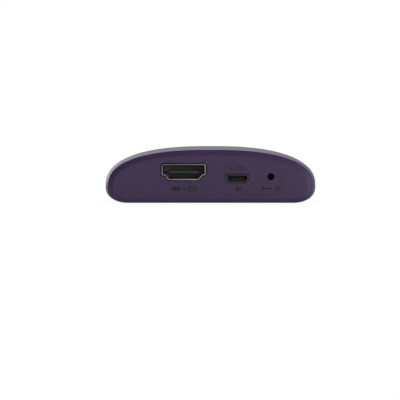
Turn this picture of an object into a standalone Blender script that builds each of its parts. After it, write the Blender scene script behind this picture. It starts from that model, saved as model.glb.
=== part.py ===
"""A streaming media player: a pebble-shaped casing round a circuit board, with its ports in a flat rear panel.

Metres, +Z up. The origin is the middle of the footprint, on the surface that the feet stand on. The rear panel
and its ports face -Y, and the infrared window faces +Y. Heights are above the surface that the feet stand on.
"""

import math

import bmesh
import bpy
from mathutils import Matrix

MM = 0.001
TINY = 0.001 * MM  # welds a filled outline's loose caps
CONTACT = 0.05 * MM  # room left between two pieces that rest on each other

# Casing envelope
WIDTH = 72.0 * MM
HEIGHT = 18.9 * MM
FOOT_PROUD = 0.15 * MM  # how far the feet stand out of the base
REAR_Y = -18.0 * MM
NOSE_Y = 18.0 * MM
WIDEST_Y = -6.0 * MM
WAIST_Z = 5.45 * MM  # the level where the cross-section is widest
ARCH_POWER = 2.5  # superellipse powers: 2 is an ellipse, more is squarer
CORNER_POWER = 2.3
CROWN_POWER = 5.0
BASE_POWER = 9.0
CORNER_WIDTH = 7.0 * MM
TAPER_POWER = 2.2
TAPER_SIDE = 1.15 * MM  # how much narrower the rear end is, on each side
TAPER_TOP = 0.75 * MM
NOSE_CAP = 0.3  # the share of the cross-section left flat at the tip of the nose
ARCH_STEPS = 11
CORNER_STEPS = 5
REAR_STATIONS = 4
NOSE_STATIONS = 10

# Casing walls
WALL = 1.4 * MM
PARTING_GAP = 0.1 * MM
LAP_INSET = 0.75 * MM  # where the two covers' half-thickness walls meet
LAP_HEIGHT = 1.5 * MM
PANEL_INNER_Y = REAR_Y + 1.5 * MM
RIM_Y = REAR_Y + 0.65 * MM
BEVEL = 1.9 * MM
BEVEL_SHOULDER = 0.45 * MM
BEVEL_SHOULDER_Y = REAR_Y + 0.38 * MM
BASE_BEVEL_SHARE = 0.7  # the panel's bevel is narrower along its lower edge
PLUG_DEPTH = 1.7 * MM
PLUG_WALL = 1.0 * MM
PLUG_FIT = 0.12 * MM

# Circuit board
BOARD_TOP = 7.0 * MM
BOARD_THICKNESS = 1.2 * MM
BOARD_HALF_WIDTH = 30.0 * MM
BOARD_REAR_Y = -15.4 * MM
BOARD_FRONT_Y = 12.6 * MM
ON_BOARD = BOARD_TOP + CONTACT
SCREW_X, SCREW_Y = 26.3 * MM, 9.2 * MM
PIN_X, PIN_Y = 26.3 * MM, -12.2 * MM

# Ports, on the rear panel
VIDEO_X, VIDEO_Z = -9.15 * MM, 10.65 * MM
POWER_X, POWER_Z = 9.0 * MM, 8.45 * MM
RESET_X, RESET_Z = 20.4 * MM, 9.05 * MM
PORT_GAP = 0.32 * MM
PORT_RECESS = 0.2 * MM
VIDEO_WALL = 0.35 * MM
POWER_WALL = 0.25 * MM
VIDEO_DEPTH = 11.3 * MM
POWER_DEPTH = 5.6 * MM
# Corners (x, z, radius) of each port's outer edge, right half, from the top down; the left half mirrors them.
VIDEO_CORNERS = (
    (7.5 * MM, 2.72 * MM, 0.9 * MM),
    (7.5 * MM, -1.05 * MM, 0.6 * MM),
    (6.45 * MM, -1.15 * MM, 0.25 * MM),
    (5.15 * MM, -2.72 * MM, 0.3 * MM),
)
POWER_CORNERS = (
    (3.75 * MM, 1.3 * MM, 0.45 * MM),
    (3.75 * MM, -0.15 * MM, 0.35 * MM),
    (2.7 * MM, -1.3 * MM, 0.35 * MM),
)

# Reset button and its switch, measured along the button's axis from its outer tip, inwards
RESET_HOLE_RADIUS = 1.2 * MM
RESET_TIP_Y = REAR_Y + 1.0 * MM
BUTTON_RADIUS = 1.05 * MM
BUTTON_COLLAR = 0.6 * MM
BUTTON_TAIL = 0.35 * MM
SWITCH_FRONT_Y = -13.95 * MM
SWITCH_WIDTH, SWITCH_DEPTH, SWITCH_HEIGHT = 4.4 * MM, 2.9 * MM, 3.7 * MM

# Infrared window, in the nose
WINDOW_WIDTH, WINDOW_HEIGHT = 34.0 * MM, 5.0 * MM
WINDOW_Z = 10.0 * MM
WINDOW_INSET = 0.08 * MM
WINDOW_FLANGE = 1.0 * MM
WINDOW_FIT = 0.12 * MM
FLANGE_DEPTH = 0.75 * MM

PURPLE = (0.060, 0.036, 0.085)


# Scene ------------------------------------------------------------------------------------------------------


def clear_scene():
    for obj in list(bpy.data.objects):
        bpy.data.objects.remove(obj)


def new_collection(name):
    collection = bpy.data.collections.new(name)
    bpy.context.scene.collection.children.link(collection)
    return collection


def new_material(name, color, roughness, metallic=0.0, transmission=0.0):
    material = bpy.data.materials.new(name)
    material.use_nodes = True
    shader = material.node_tree.nodes["Principled BSDF"]
    shader.inputs["Base Color"].default_value = (*color, 1.0)
    shader.inputs["Roughness"].default_value = roughness
    shader.inputs["Metallic"].default_value = metallic
    shader.inputs["Transmission Weight"].default_value = transmission
    material.diffuse_color = (*color, 1.0)
    return material


def add_object(name, mesh, location=(0, 0, 0)):
    """A helper shape: it stays in the tools collection until finish() makes it a part."""
    obj = bpy.data.objects.new(name, mesh)
    obj.location = location
    obj.hide_render = True
    obj.display_type = "WIRE"
    TOOLS.objects.link(obj)
    return obj


def finish(obj, material, smooth_angle=30.0, parent=None):
    """Makes a shape one of the object's parts, with its own copy of the material."""
    TOOLS.objects.unlink(obj)
    PARTS.objects.link(obj)
    obj.hide_render = False
    obj.display_type = "TEXTURED"
    obj.data.materials.clear()
    obj.data.materials.append(material.copy())
    obj.active_material.name = obj.name
    obj.data.shade_smooth()
    obj.data.set_sharp_from_angle(angle=math.radians(smooth_angle))
    if parent:
        obj.parent = parent
    return obj


# Shapes -----------------------------------------------------------------------------------------------------


def mesh_of(name, bm):
    bmesh.ops.recalc_face_normals(bm, faces=bm.faces)
    mesh = bpy.data.meshes.new(name)
    bm.to_mesh(mesh)
    bm.free()
    return mesh


def box(name, size, location=(0, 0, 0)):
    """A box of that size, centred on its location."""
    bm = bmesh.new()
    bmesh.ops.create_cube(bm, size=1.0, matrix=Matrix.Diagonal((*size, 1.0)))
    return add_object(name, mesh_of(name, bm), location)


def standing_box(name, size, x, y, z):
    """A box whose underside is centred on x, y, z."""
    return box(name, size, (x, y, z + size[2] / 2))


def cylinder(name, radius, low, high, x, y, steps=20):
    """An upright cylinder between two heights."""
    bm = bmesh.new()
    bmesh.ops.create_cone(
        bm, cap_ends=True, segments=steps, radius1=radius, radius2=radius, depth=high - low
    )
    return add_object(name, mesh_of(name, bm), (x, y, (low + high) / 2))


def turned(name, profile, steps=20, location=(0, 0, 0)):
    """A profile of (radius, height) points, from the top down, turned about the object's own Z axis."""
    mesh = bpy.data.meshes.new(name)
    edges = [(i, i + 1) for i in range(len(profile) - 1)]
    mesh.from_pydata([(radius, 0, height) for radius, height in profile], edges, [])
    obj = add_object(name, mesh, location)
    screw = obj.modifiers.new("turn", "SCREW")
    screw.steps = steps
    screw.render_steps = steps
    screw.use_merge_vertices = True
    screw.merge_threshold = TINY
    return obj


def filled(name, outlines, thickness, location, along_y=False):
    """Flat outlines given a thickness, centred on location. An outline inside another is a hole.

    Outline points are (x, y), or (x, z) when the thickness runs along Y.
    """
    curve = bpy.data.curves.new(name, "CURVE")
    curve.dimensions = "2D"
    curve.fill_mode = "BOTH"
    curve.extrude = thickness / 2
    for outline in outlines:
        spline = curve.splines.new("POLY")
        spline.points.add(len(outline) - 1)
        for point, (u, v) in zip(spline.points, outline):
            point.co = (u, v, 0, 1)
        spline.use_cyclic_u = True
    drawing = bpy.data.objects.new(name, curve)
    TOOLS.objects.link(drawing)
    graph = bpy.context.evaluated_depsgraph_get()
    mesh = bpy.data.meshes.new_from_object(drawing.evaluated_get(graph))
    bpy.data.objects.remove(drawing)
    bm = bmesh.new()
    bm.from_mesh(mesh)
    bmesh.ops.remove_doubles(bm, verts=bm.verts, dist=TINY)
    obj = add_object(name, mesh_of(name, bm), location)
    if along_y:
        obj.rotation_euler = (math.pi / 2, 0, 0)
    return obj


def loft(name, loops):
    """A closed solid through loops of points, each loop with the same number of points."""
    bm = bmesh.new()
    rings = [[bm.verts.new(point) for point in loop] for loop in loops]
    for ring, following in zip(rings, rings[1:]):
        for i in range(len(ring)):
            bm.faces.new((ring[i - 1], ring[i], following[i], following[i - 1]))
    bm.faces.new(rings[0])
    bm.faces.new(rings[-1])
    return add_object(name, mesh_of(name, bm))


def combine(obj, other, operation):
    modifier = obj.modifiers.new(f"{operation.lower()} {other.name}", "BOOLEAN")
    modifier.operation = operation
    modifier.object = other
    modifier.solver = "EXACT"


def cut(obj, *others):
    for other in others:
        combine(obj, other, "DIFFERENCE")


def join(obj, *others):
    for other in others:
        combine(obj, other, "UNION")


def keep_inside(obj, other):
    combine(obj, other, "INTERSECT")


def soften(obj, width, segments=1):
    bevel = obj.modifiers.new("soften", "BEVEL")
    bevel.width = width
    bevel.segments = segments
    bevel.limit_method = "ANGLE"


# Outlines ---------------------------------------------------------------------------------------------------


def quarter_arc(width, height, power, steps):
    """A quarter of a superellipse, from (width, 0) round to (0, height)."""
    angles = [math.pi / 2 * i / steps for i in range(steps + 1)]
    return [
        (width * math.cos(a) ** (2 / power), height * math.sin(a) ** (2 / power))
        for a in angles
    ]


def rounded(corners, steps=4):
    """The outline of a polygon whose corners are (u, v, radius), each turned into an arc."""
    outline = []
    for i, (u, v, radius) in enumerate(corners):
        before, after = corners[i - 1], corners[(i + 1) % len(corners)]
        to_before = math.atan2(before[1] - v, before[0] - u)
        to_after = math.atan2(after[1] - v, after[0] - u)
        turn = (to_after - to_before + math.pi) % (2 * math.pi) - math.pi
        reach = radius / math.sin(abs(turn) / 2)
        bisector = to_before + turn / 2
        centre_u, centre_v = u + reach * math.cos(bisector), v + reach * math.sin(bisector)
        start = to_before - math.copysign(math.pi / 2, turn)
        sweep = -math.copysign(math.pi - abs(turn), turn)
        for k in range(steps + 1):
            angle = start + sweep * k / steps
            outline.append((centre_u + radius * math.cos(angle), centre_v + radius * math.sin(angle)))
    return outline


def grown(corners, distance):
    """The same polygon with every side moved outwards by distance. The corners run clockwise."""
    moved = []
    for i, (u, v, radius) in enumerate(corners):
        before, after = corners[i - 1], corners[(i + 1) % len(corners)]
        first = math.atan2(v - before[1], u - before[0]) + math.pi / 2
        second = math.atan2(after[1] - v, after[0] - u) + math.pi / 2
        turn = (second - first + math.pi) % (2 * math.pi) - math.pi
        reach = distance / math.cos(turn / 2)
        middle = first + turn / 2
        outside = turn < 0
        new_radius = radius + distance if outside else radius - distance
        moved.append((u + reach * math.cos(middle), v + reach * math.sin(middle), max(new_radius, 0.1 * MM)))
    return moved


def mirrored(corners):
    """A whole outline's corners, clockwise, from its right half's corners given from the top down."""
    return list(corners) + [(-u, v, radius) for u, v, radius in reversed(corners)]


def rectangle(width, height, radius, u=0.0, v=0.0):
    half_width, half_height = width / 2, height / 2
    signs = ((1, 1), (1, -1), (-1, -1), (-1, 1))
    return [(u + a * half_width, v + b * half_height, radius) for a, b in signs]


def circle(radius, u, v, steps=20):
    angles = [2 * math.pi * i / steps for i in range(steps)]
    return [(u + radius * math.cos(a), v + radius * math.sin(a)) for a in angles]


# Casing envelope --------------------------------------------------------------------------------------------


def rear_taper(y):
    """1 at the rear rim, falling to 0 where the casing is widest."""
    share = (WIDEST_Y - y) / (WIDEST_Y - RIM_Y)
    return min(max(share, 0.0), 1.0) ** TAPER_POWER


def nose_scale(y, inset, power):
    """1 back to the widest station, falling to 0 at the tip of the nose."""
    share = (y - WIDEST_Y) / (NOSE_Y - inset - WIDEST_Y)
    return (1.0 - min(max(share, 0.0), 1.0) ** power) ** (1.0 / power)


def casing_outline(y, inset=0.0, base_inset=None):
    """The casing's cross-section at y, pulled in by inset: an arch above the waist, a flat base below it."""
    base_inset = inset if base_inset is None else base_inset
    taper = rear_taper(y)
    crown = nose_scale(y, inset, CROWN_POWER)
    half_width = (WIDTH / 2 - TAPER_SIDE * taper - inset) * crown
    rise = (HEIGHT - WAIST_Z - TAPER_TOP * taper - inset) * crown
    drop = (WAIST_Z - FOOT_PROUD - base_inset) * nose_scale(y, inset, BASE_POWER)
    corner = (CORNER_WIDTH - inset) * crown
    arch = [(x, WAIST_Z + z) for x, z in quarter_arc(half_width, rise, ARCH_POWER, ARCH_STEPS)]
    lower = [
        (half_width - corner + x, WAIST_Z - z)
        for x, z in quarter_arc(corner, drop, CORNER_POWER, CORNER_STEPS)
    ]
    right = lower[:0:-1] + arch
    left = [(-x, z) for x, z in right[-2::-1]]
    return right + left


def stations(rear_y, inset):
    """Places along Y for the casing's cross-sections, closer together where the nose turns."""
    reach = NOSE_Y - inset - WIDEST_Y
    last = math.acos(NOSE_CAP ** (CROWN_POWER / 2))
    behind = [rear_y + (WIDEST_Y - rear_y) * i / REAR_STATIONS for i in range(REAR_STATIONS)]
    ahead = [
        WIDEST_Y + reach * math.sin(last * i / NOSE_STATIONS) ** (2 / CROWN_POWER)
        for i in range(NOSE_STATIONS + 1)
    ]
    return behind + ahead


def casing_solid(name, inset, rear_y):
    """The casing's whole envelope, pulled in by inset."""
    loops = [
        [(x, y, z) for x, z in casing_outline(y, inset)]
        for y in stations(rear_y, inset)
    ]
    return loft(name, loops)


def slab(name, low, high):
    """A block across the whole casing between two heights."""
    reach = 2 * WIDTH
    return box(name, (reach, reach, high - low), (0, 0, (low + high) / 2))


# Casing parts -----------------------------------------------------------------------------------------------

COVER_REAR_Y = PANEL_INNER_Y + CONTACT
BEYOND_REAR_Y = REAR_Y - 1.0 * MM
HOOK_YS = (-8.0 * MM, 6.0 * MM)
HOOK_LENGTH = 5.0 * MM
CATCH_LOW, CATCH_HIGH = 7.75 * MM, 8.75 * MM
FOOT_X, FOOT_REAR_Y, FOOT_FRONT_Y = 22.5 * MM, -11.8 * MM, 9.6 * MM
FOOT_LENGTH, FOOT_BREADTH = 9.0 * MM, 5.0 * MM
FOOT_SEAT = 0.6 * MM  # how deep the feet sit in the base
LABEL_WIDTH, LABEL_HEIGHT, LABEL_Y = 30.0 * MM, 9.0 * MM, -9.0 * MM
VENT_COUNT, VENT_PITCH, VENT_LENGTH, VENT_WIDTH, VENT_Y = 9, 3.2 * MM, 11.0 * MM, 1.3 * MM, 5.5 * MM


def window_cutter(name, growth):
    """A block with the window's outline, reaching out through the nose."""
    corners = rectangle(
        WINDOW_WIDTH + 2 * growth, WINDOW_HEIGHT + 2 * growth, WINDOW_HEIGHT / 2 + growth - 0.1 * MM
    )
    depth = 8.0 * MM
    return filled(name, [rounded(corners)], depth, (0, NOSE_Y - depth / 4, WINDOW_Z), along_y=True)


def foot_places():
    return [(side * FOOT_X, y) for y in (FOOT_REAR_Y, FOOT_FRONT_Y) for side in (-1, 1)]


def foot_outline(growth, x=0.0, y=0.0):
    length, breadth = FOOT_LENGTH + 2 * growth, FOOT_BREADTH + 2 * growth
    return rounded(rectangle(length, breadth, breadth / 2 - 0.1 * MM, x, y))


def top_cover():
    cover = casing_solid("top_cover", 0.0, COVER_REAR_Y)
    cut(cover, slab("below_parting", -HEIGHT, WAIST_Z + PARTING_GAP / 2))
    lap = casing_solid("top_lap", LAP_INSET - PARTING_GAP / 2, BEYOND_REAR_Y)
    cut(lap, slab("above_top_lap", WAIST_Z + LAP_HEIGHT + PARTING_GAP, 2 * HEIGHT))
    cut(cover, lap, casing_solid("top_hollow", WALL, BEYOND_REAR_Y))
    cut(cover, window_cutter("window_opening", WINDOW_FIT))
    for side in (-1, 1):
        for i, y in enumerate(HOOK_YS):
            size = (2.2 * MM, HOOK_LENGTH, CATCH_HIGH - CATCH_LOW)
            join(cover, standing_box(f"catch_{side}_{i}", size, side * 33.6 * MM, y, CATCH_LOW))
    return finish(cover, SATIN_PURPLE)


def hook(side, index):
    """A clip that stands up from the base and holds over a catch inside the top cover."""
    inner, outer, barb = 31.2 * MM, 32.2 * MM, 33.1 * MM
    foot, under, tip = FOOT_PROUD + WALL - 0.1 * MM, CATCH_HIGH + 0.15 * MM, 10.4 * MM
    outline = [(inner, foot), (outer, foot), (outer, under), (barb, under), (outer, tip), (inner, tip)]
    outline = [(side * x, z) for x, z in outline]
    return filled(f"hook_{side}_{index}", [outline], HOOK_LENGTH, (0, HOOK_YS[index], 0), along_y=True)


def bottom_cover():
    base = casing_solid("bottom_cover", 0.0, COVER_REAR_Y)
    cut(base, slab("above_parting", WAIST_Z - PARTING_GAP / 2, 2 * HEIGHT))
    lap = casing_solid("base_lap", LAP_INSET + PARTING_GAP / 2, COVER_REAR_Y)
    cut(lap, slab("above_base_lap", WAIST_Z + LAP_HEIGHT, 2 * HEIGHT))
    notch = (WINDOW_WIDTH + 2 * WINDOW_FLANGE + 0.6 * MM, 12.0 * MM, 2 * LAP_HEIGHT)
    cut(lap, standing_box("window_notch", notch, 0, NOSE_Y, WAIST_Z - PARTING_GAP / 2))
    join(base, lap)
    cut(base, casing_solid("base_hollow", WALL, BEYOND_REAR_Y))
    board_under = BOARD_TOP - BOARD_THICKNESS - CONTACT
    floor = FOOT_PROUD + WALL
    for side in (-1, 1):
        boss_x = side * SCREW_X
        boss = cylinder(f"boss_{side}", 2.3 * MM, floor / 2, board_under, boss_x, SCREW_Y)
        pilot = cylinder(f"pilot_{side}", 1.0 * MM, floor, HEIGHT, boss_x, SCREW_Y, steps=16)
        post = cylinder(f"post_{side}", 2.2 * MM, floor / 2, board_under, side * PIN_X, PIN_Y)
        pin = cylinder(f"pin_{side}", 0.95 * MM, floor, BOARD_TOP + 0.8 * MM, side * PIN_X, PIN_Y, steps=16)
        join(base, boss, post, pin)
        cut(base, pilot)
        join(base, *(hook(side, i) for i in range(len(HOOK_YS))))
    seats = [foot_outline(0.1 * MM, x, y) for x, y in foot_places()]
    cut(base, filled("foot_seats", seats, 2 * FOOT_SEAT, (0, 0, FOOT_PROUD)))
    label = rounded(rectangle(LABEL_WIDTH + 0.4 * MM, LABEL_HEIGHT + 0.4 * MM, 1.2 * MM))
    cut(base, filled("label_seat", [label], 0.5 * MM, (0, LABEL_Y, FOOT_PROUD)))
    offsets = [(i - (VENT_COUNT - 1) / 2) * VENT_PITCH for i in range(VENT_COUNT)]
    slots = [
        rounded(rectangle(VENT_WIDTH, VENT_LENGTH, VENT_WIDTH / 2 - 0.02 * MM, x, VENT_Y), steps=3)
        for x in offsets
    ]
    cut(base, filled("vent_slots", slots, 6 * WALL, (0, 0, 0)))
    return finish(base, SATIN_PURPLE)


def rear_panel():
    """The flat end panel: a bevelled face, a rim flush with the covers, and a lip that plugs into them."""
    plug_inset = WALL + PLUG_FIT
    sections = [
        (REAR_Y, RIM_Y, BEVEL),
        (BEVEL_SHOULDER_Y, RIM_Y, BEVEL_SHOULDER),
        (RIM_Y, RIM_Y, 0.0),
        (PANEL_INNER_Y, PANEL_INNER_Y, 0.0),
        (PANEL_INNER_Y, PANEL_INNER_Y, plug_inset),
        (PANEL_INNER_Y + PLUG_DEPTH, PANEL_INNER_Y, plug_inset),
    ]
    loops = []
    for y, station, inset in sections:
        base_inset = inset if y >= PANEL_INNER_Y else inset * BASE_BEVEL_SHARE
        loops.append([(x, y, z) for x, z in casing_outline(station, inset, base_inset)])
    panel = loft("rear_panel", loops)
    hollow_inset = plug_inset + PLUG_WALL
    hollow = [
        [(x, y, z) for x, z in casing_outline(PANEL_INNER_Y, hollow_inset)]
        for y in (PANEL_INNER_Y, PANEL_INNER_Y + 2 * PLUG_DEPTH)
    ]
    cut(panel, loft("panel_hollow", hollow))
    depth = 6.0 * MM
    ports = (("video", VIDEO_CORNERS, VIDEO_X, VIDEO_Z), ("power", POWER_CORNERS, POWER_X, POWER_Z))
    for name, corners, x, z in ports:
        outline = rounded(grown(mirrored(corners), PORT_GAP))
        cut(panel, filled(f"{name}_opening", [outline], depth, (x, REAR_Y, z), along_y=True))
    hole = [circle(RESET_HOLE_RADIUS, 0, 0, steps=24)]
    cut(panel, filled("reset_hole", hole, depth, (RESET_X, REAR_Y, RESET_Z), along_y=True))
    return finish(panel, SATIN_PURPLE, smooth_angle=12.0)


def front_window():
    """The smoked lens in the nose, flush with the top cover, with a flange behind the cover's wall."""
    lens = casing_solid("front_window", WINDOW_INSET, REAR_Y)
    keep_inside(lens, window_cutter("lens_edge", 0.0))
    flange = casing_solid("flange", WALL + CONTACT, REAR_Y)
    keep_inside(flange, window_cutter("flange_edge", WINDOW_FLANGE))
    join(lens, flange)
    cut(lens, casing_solid("behind_lens", WALL + CONTACT + FLANGE_DEPTH, BEYOND_REAR_Y))
    return finish(lens, SMOKED_LENS)


def feet():
    height = FOOT_PROUD + FOOT_SEAT - CONTACT
    names = ("foot_rear_left", "foot_rear_right", "foot_front_left", "foot_front_right")
    for name, (x, y) in zip(names, foot_places()):
        foot = filled(name, [foot_outline(0.0)], height, (x, y, height / 2))
        soften(foot, 0.12 * MM)
        finish(foot, RUBBER)


def rating_label():
    thickness = 0.15 * MM
    outline = rounded(rectangle(LABEL_WIDTH, LABEL_HEIGHT, 1.0 * MM))
    label = filled("rating_label", [outline], thickness, (0, LABEL_Y, FOOT_PROUD + 0.11 * MM))
    return finish(label, LABEL_FOIL)


# Board and its fixings --------------------------------------------------------------------------------------


def circuit_board():
    middle_y = (BOARD_REAR_Y + BOARD_FRONT_Y) / 2
    edge = rounded(rectangle(2 * BOARD_HALF_WIDTH, BOARD_FRONT_Y - BOARD_REAR_Y, 2.0 * MM, 0, middle_y))
    holes = [circle(1.25 * MM, side * SCREW_X, SCREW_Y) for side in (-1, 1)]
    holes += [circle(1.1 * MM, side * PIN_X, PIN_Y) for side in (-1, 1)]
    board = filled(
        "circuit_board", [edge, *holes], BOARD_THICKNESS, (0, 0, BOARD_TOP - BOARD_THICKNESS / 2)
    )
    return finish(board, BOARD_GREEN)


def board_screw(name, x):
    """A pan-head screw through the board into its boss, with a cross recess."""
    head_radius, head_height, shank_radius, length = 2.0 * MM, 1.3 * MM, 0.92 * MM, 4.0 * MM
    profile = [
        (0, head_height),
        (head_radius * 0.6, head_height),
        (head_radius * 0.92, head_height * 0.65),
        (head_radius, 0),
        (shank_radius, 0),
        (shank_radius, -length + shank_radius),
        (0, -length),
    ]
    screw = turned(name, profile, location=(x, SCREW_Y, ON_BOARD))
    arm, slot, depth = 2.0 * MM, 0.45 * MM, 0.8 * MM
    recess_z = ON_BOARD + head_height
    across = box(f"{name}_slot_x", (arm, slot, 2 * depth), (x, SCREW_Y, recess_z))
    along = box(f"{name}_slot_y", (slot, arm, 2 * depth), (x, SCREW_Y, recess_z))
    join(across, along)
    cut(screw, across)
    return finish(screw, ZINC)


# Ports ------------------------------------------------------------------------------------------------------


def port_shell(name, corners, wall, depth, x, z, leg_y):
    """A receptacle's stamped metal shell with two legs down to the board."""
    outer = mirrored(corners)
    outlines = [rounded(outer), rounded(grown(outer, -wall))]
    front = REAR_Y + PORT_RECESS
    shell = filled(name, outlines, depth, (x, front + depth / 2, z), along_y=True)
    half_width, side_low = corners[0][0], corners[1][1]
    leg = (wall, 1.6 * MM, z + side_low + 0.9 * MM - ON_BOARD)
    for side in (-1, 1):
        leg_x = x + side * (half_width - wall / 2)
        join(shell, standing_box(f"{name}_leg_{side}", leg, leg_x, leg_y, ON_BOARD))
    return finish(shell, PLATED_STEEL)


def port_insulator(name, corners, wall, depth, x, z, tongue_size, tongue_drop, tongue_recess):
    """The moulded block that closes the back of a receptacle's shell and carries its contact tongue."""
    block_depth = depth * 0.25
    back = REAR_Y + PORT_RECESS + depth
    outline = rounded(grown(mirrored(corners), -wall - CONTACT))
    block = filled(name, [outline], block_depth, (x, back - block_depth / 2, z), along_y=True)
    front = REAR_Y + PORT_RECESS + tongue_recess
    tongue_depth = back - block_depth / 2 - front
    width, thickness = tongue_size
    tongue = box(
        f"{name}_tongue", (width, tongue_depth, thickness), (x, front + tongue_depth / 2, z - tongue_drop)
    )
    soften(tongue, 0.12 * MM)
    join(block, tongue)
    return finish(block, BLACK_NYLON)


def ports():
    port_shell("video_port_shell", VIDEO_CORNERS, VIDEO_WALL, VIDEO_DEPTH, VIDEO_X, VIDEO_Z, -9.0 * MM)
    port_insulator(
        "video_port_insulator", VIDEO_CORNERS, VIDEO_WALL, VIDEO_DEPTH, VIDEO_X, VIDEO_Z,
        tongue_size=(10.0 * MM, 1.0 * MM), tongue_drop=0.05 * MM, tongue_recess=1.0 * MM,
    )
    port_shell("power_port_shell", POWER_CORNERS, POWER_WALL, POWER_DEPTH, POWER_X, POWER_Z, -13.8 * MM)
    port_insulator(
        "power_port_insulator", POWER_CORNERS, POWER_WALL, POWER_DEPTH, POWER_X, POWER_Z,
        tongue_size=(4.0 * MM, 0.8 * MM), tongue_drop=0.35 * MM, tongue_recess=0.8 * MM,
    )


# Reset button and switch ------------------------------------------------------------------------------------


def reset_axis():
    """The line that the reset button travels along. Its local +Z points out of the rear panel."""
    axis = bpy.data.objects.new("reset_axis", None)
    axis.location = (RESET_X, RESET_TIP_Y, RESET_Z)
    axis.rotation_euler = (math.pi / 2, 0, 0)
    PARTS.objects.link(axis)
    return axis


def reset_button(axis):
    collar_top = -(PANEL_INNER_Y + CONTACT - RESET_TIP_Y)
    tail_top = collar_top - BUTTON_COLLAR
    profile = [
        (0, 0),
        (BUTTON_RADIUS - 0.12 * MM, 0),
        (BUTTON_RADIUS, -0.12 * MM),
        (BUTTON_RADIUS, collar_top),
        (1.6 * MM, collar_top),
        (1.6 * MM, tail_top),
        (0.8 * MM, tail_top),
        (0.8 * MM, tail_top - BUTTON_TAIL),
        (0, tail_top - BUTTON_TAIL),
    ]
    return finish(turned("reset_button", profile, steps=24), BLACK_NYLON, parent=axis)


def switch_plunger(axis):
    """The switch's own plunger: a stem behind the button's tail and a flange inside the switch."""
    tip = -(PANEL_INNER_Y - RESET_TIP_Y + BUTTON_COLLAR + BUTTON_TAIL + 2 * CONTACT)
    flange_top = -(SWITCH_FRONT_Y + CONTACT - RESET_TIP_Y)
    flange_low = flange_top - 0.9 * MM
    profile = [
        (0, tip),
        (0.75 * MM, tip),
        (0.75 * MM, flange_top),
        (1.35 * MM, flange_top),
        (1.35 * MM, flange_low),
        (0, flange_low),
    ]
    return finish(turned("switch_plunger", profile), BLACK_NYLON, parent=axis)


def switch_base():
    size = (SWITCH_WIDTH, SWITCH_DEPTH, SWITCH_HEIGHT)
    base = standing_box("switch_base", size, RESET_X, SWITCH_FRONT_Y + SWITCH_DEPTH / 2, ON_BOARD)
    pocket_depth = 1.35 * MM
    pocket = filled(
        "switch_pocket", [circle(1.6 * MM, 0, 0)], 2 * pocket_depth,
        (RESET_X, SWITCH_FRONT_Y, RESET_Z), along_y=True,
    )
    cut(base, pocket)
    return finish(base, BLACK_NYLON)


def switch_frame():
    """The stamped frame that holds the plunger in: a pierced front plate with a tab down each side."""
    sheet = 0.15 * MM
    plate_y = SWITCH_FRONT_Y - CONTACT - sheet / 2
    width = SWITCH_WIDTH + 2 * (sheet + CONTACT)
    frame = standing_box("switch_frame", (width, sheet, SWITCH_HEIGHT), RESET_X, plate_y, ON_BOARD)
    tab = (sheet, 2.0 * MM, SWITCH_HEIGHT - 1.0 * MM)
    for side in (-1, 1):
        tab_x = RESET_X + side * (width - sheet) / 2
        tab_y = plate_y + (tab[1] - sheet) / 2
        join(frame, box(f"switch_tab_{side}", tab, (tab_x, tab_y, ON_BOARD + SWITCH_HEIGHT / 2)))
    hole = [circle(0.9 * MM, 0, 0)]
    cut(frame, filled("frame_hole", hole, 1.0 * MM, (RESET_X, plate_y, RESET_Z), along_y=True))
    return finish(frame, PLATED_STEEL)


def switch_dome():
    """The snap dome that pushes the plunger back: a shallow cap of thin spring steel."""
    radius, height, sheet, steps = 1.45 * MM, 0.24 * MM, 0.06 * MM, 4
    radii = [radius * i / steps for i in range(steps + 1)]
    top = [(r, height * (1 - (r / radius) ** 2) + sheet) for r in radii]
    under = [(r, z - sheet) for r, z in reversed(top)]
    dome = turned("switch_dome", top + under)
    dome.location = (RESET_X, SWITCH_FRONT_Y + 1.35 * MM - CONTACT, RESET_Z)
    dome.rotation_euler = (math.pi / 2, 0, 0)
    return finish(dome, SPRING_STEEL)


# Electronics ------------------------------------------------------------------------------------------------


def chip(name, width, length, height, x, y, material):
    """A moulded package on the board."""
    body = standing_box(name, (width, length, height), x, y, ON_BOARD)
    soften(body, 0.12 * MM)
    return finish(body, material)


def shield(name, width, length, height, x, y):
    """A shielding can: five thin walls over the chips, open towards the board."""
    sheet = 0.2 * MM
    can = standing_box(name, (width, length, height), x, y, ON_BOARD)
    inside = (width - 2 * sheet, length - 2 * sheet, 2 * (height - sheet))
    cut(can, box(f"{name}_inside", inside, (x, y, ON_BOARD)))
    return finish(can, PLATED_STEEL)


def processing():
    chip("processor", 12.0 * MM, 12.0 * MM, 1.1 * MM, -6.4 * MM, 2.5 * MM, EPOXY)
    chip("memory_chip", 9.0 * MM, 11.0 * MM, 0.9 * MM, 4.6 * MM, 2.5 * MM, EPOXY)
    chip("flash_chip", 8.0 * MM, 6.0 * MM, 0.9 * MM, -20.5 * MM, 0.5 * MM, EPOXY)
    chip("clock_crystal", 3.2 * MM, 2.5 * MM, 0.7 * MM, -18.0 * MM, 8.0 * MM, PLATED_STEEL)
    shield("processor_shield", 24.0 * MM, 14.2 * MM, 2.0 * MM, -2.0 * MM, 2.5 * MM)
    pad_z = ON_BOARD + 2.0 * MM + CONTACT
    pad = standing_box("thermal_pad", (18.0 * MM, 11.0 * MM, 0.9 * MM), -2.0 * MM, 2.5 * MM, pad_z)
    finish(pad, THERMAL_GREY)
    spreader_z = pad_z + 0.9 * MM + CONTACT
    size = (30.0 * MM, 15.0 * MM, 0.8 * MM)
    spreader = standing_box("heat_spreader", size, -2.0 * MM, 2.5 * MM, spreader_z)
    soften(spreader, 0.25 * MM)
    finish(spreader, ALUMINIUM)


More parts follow.
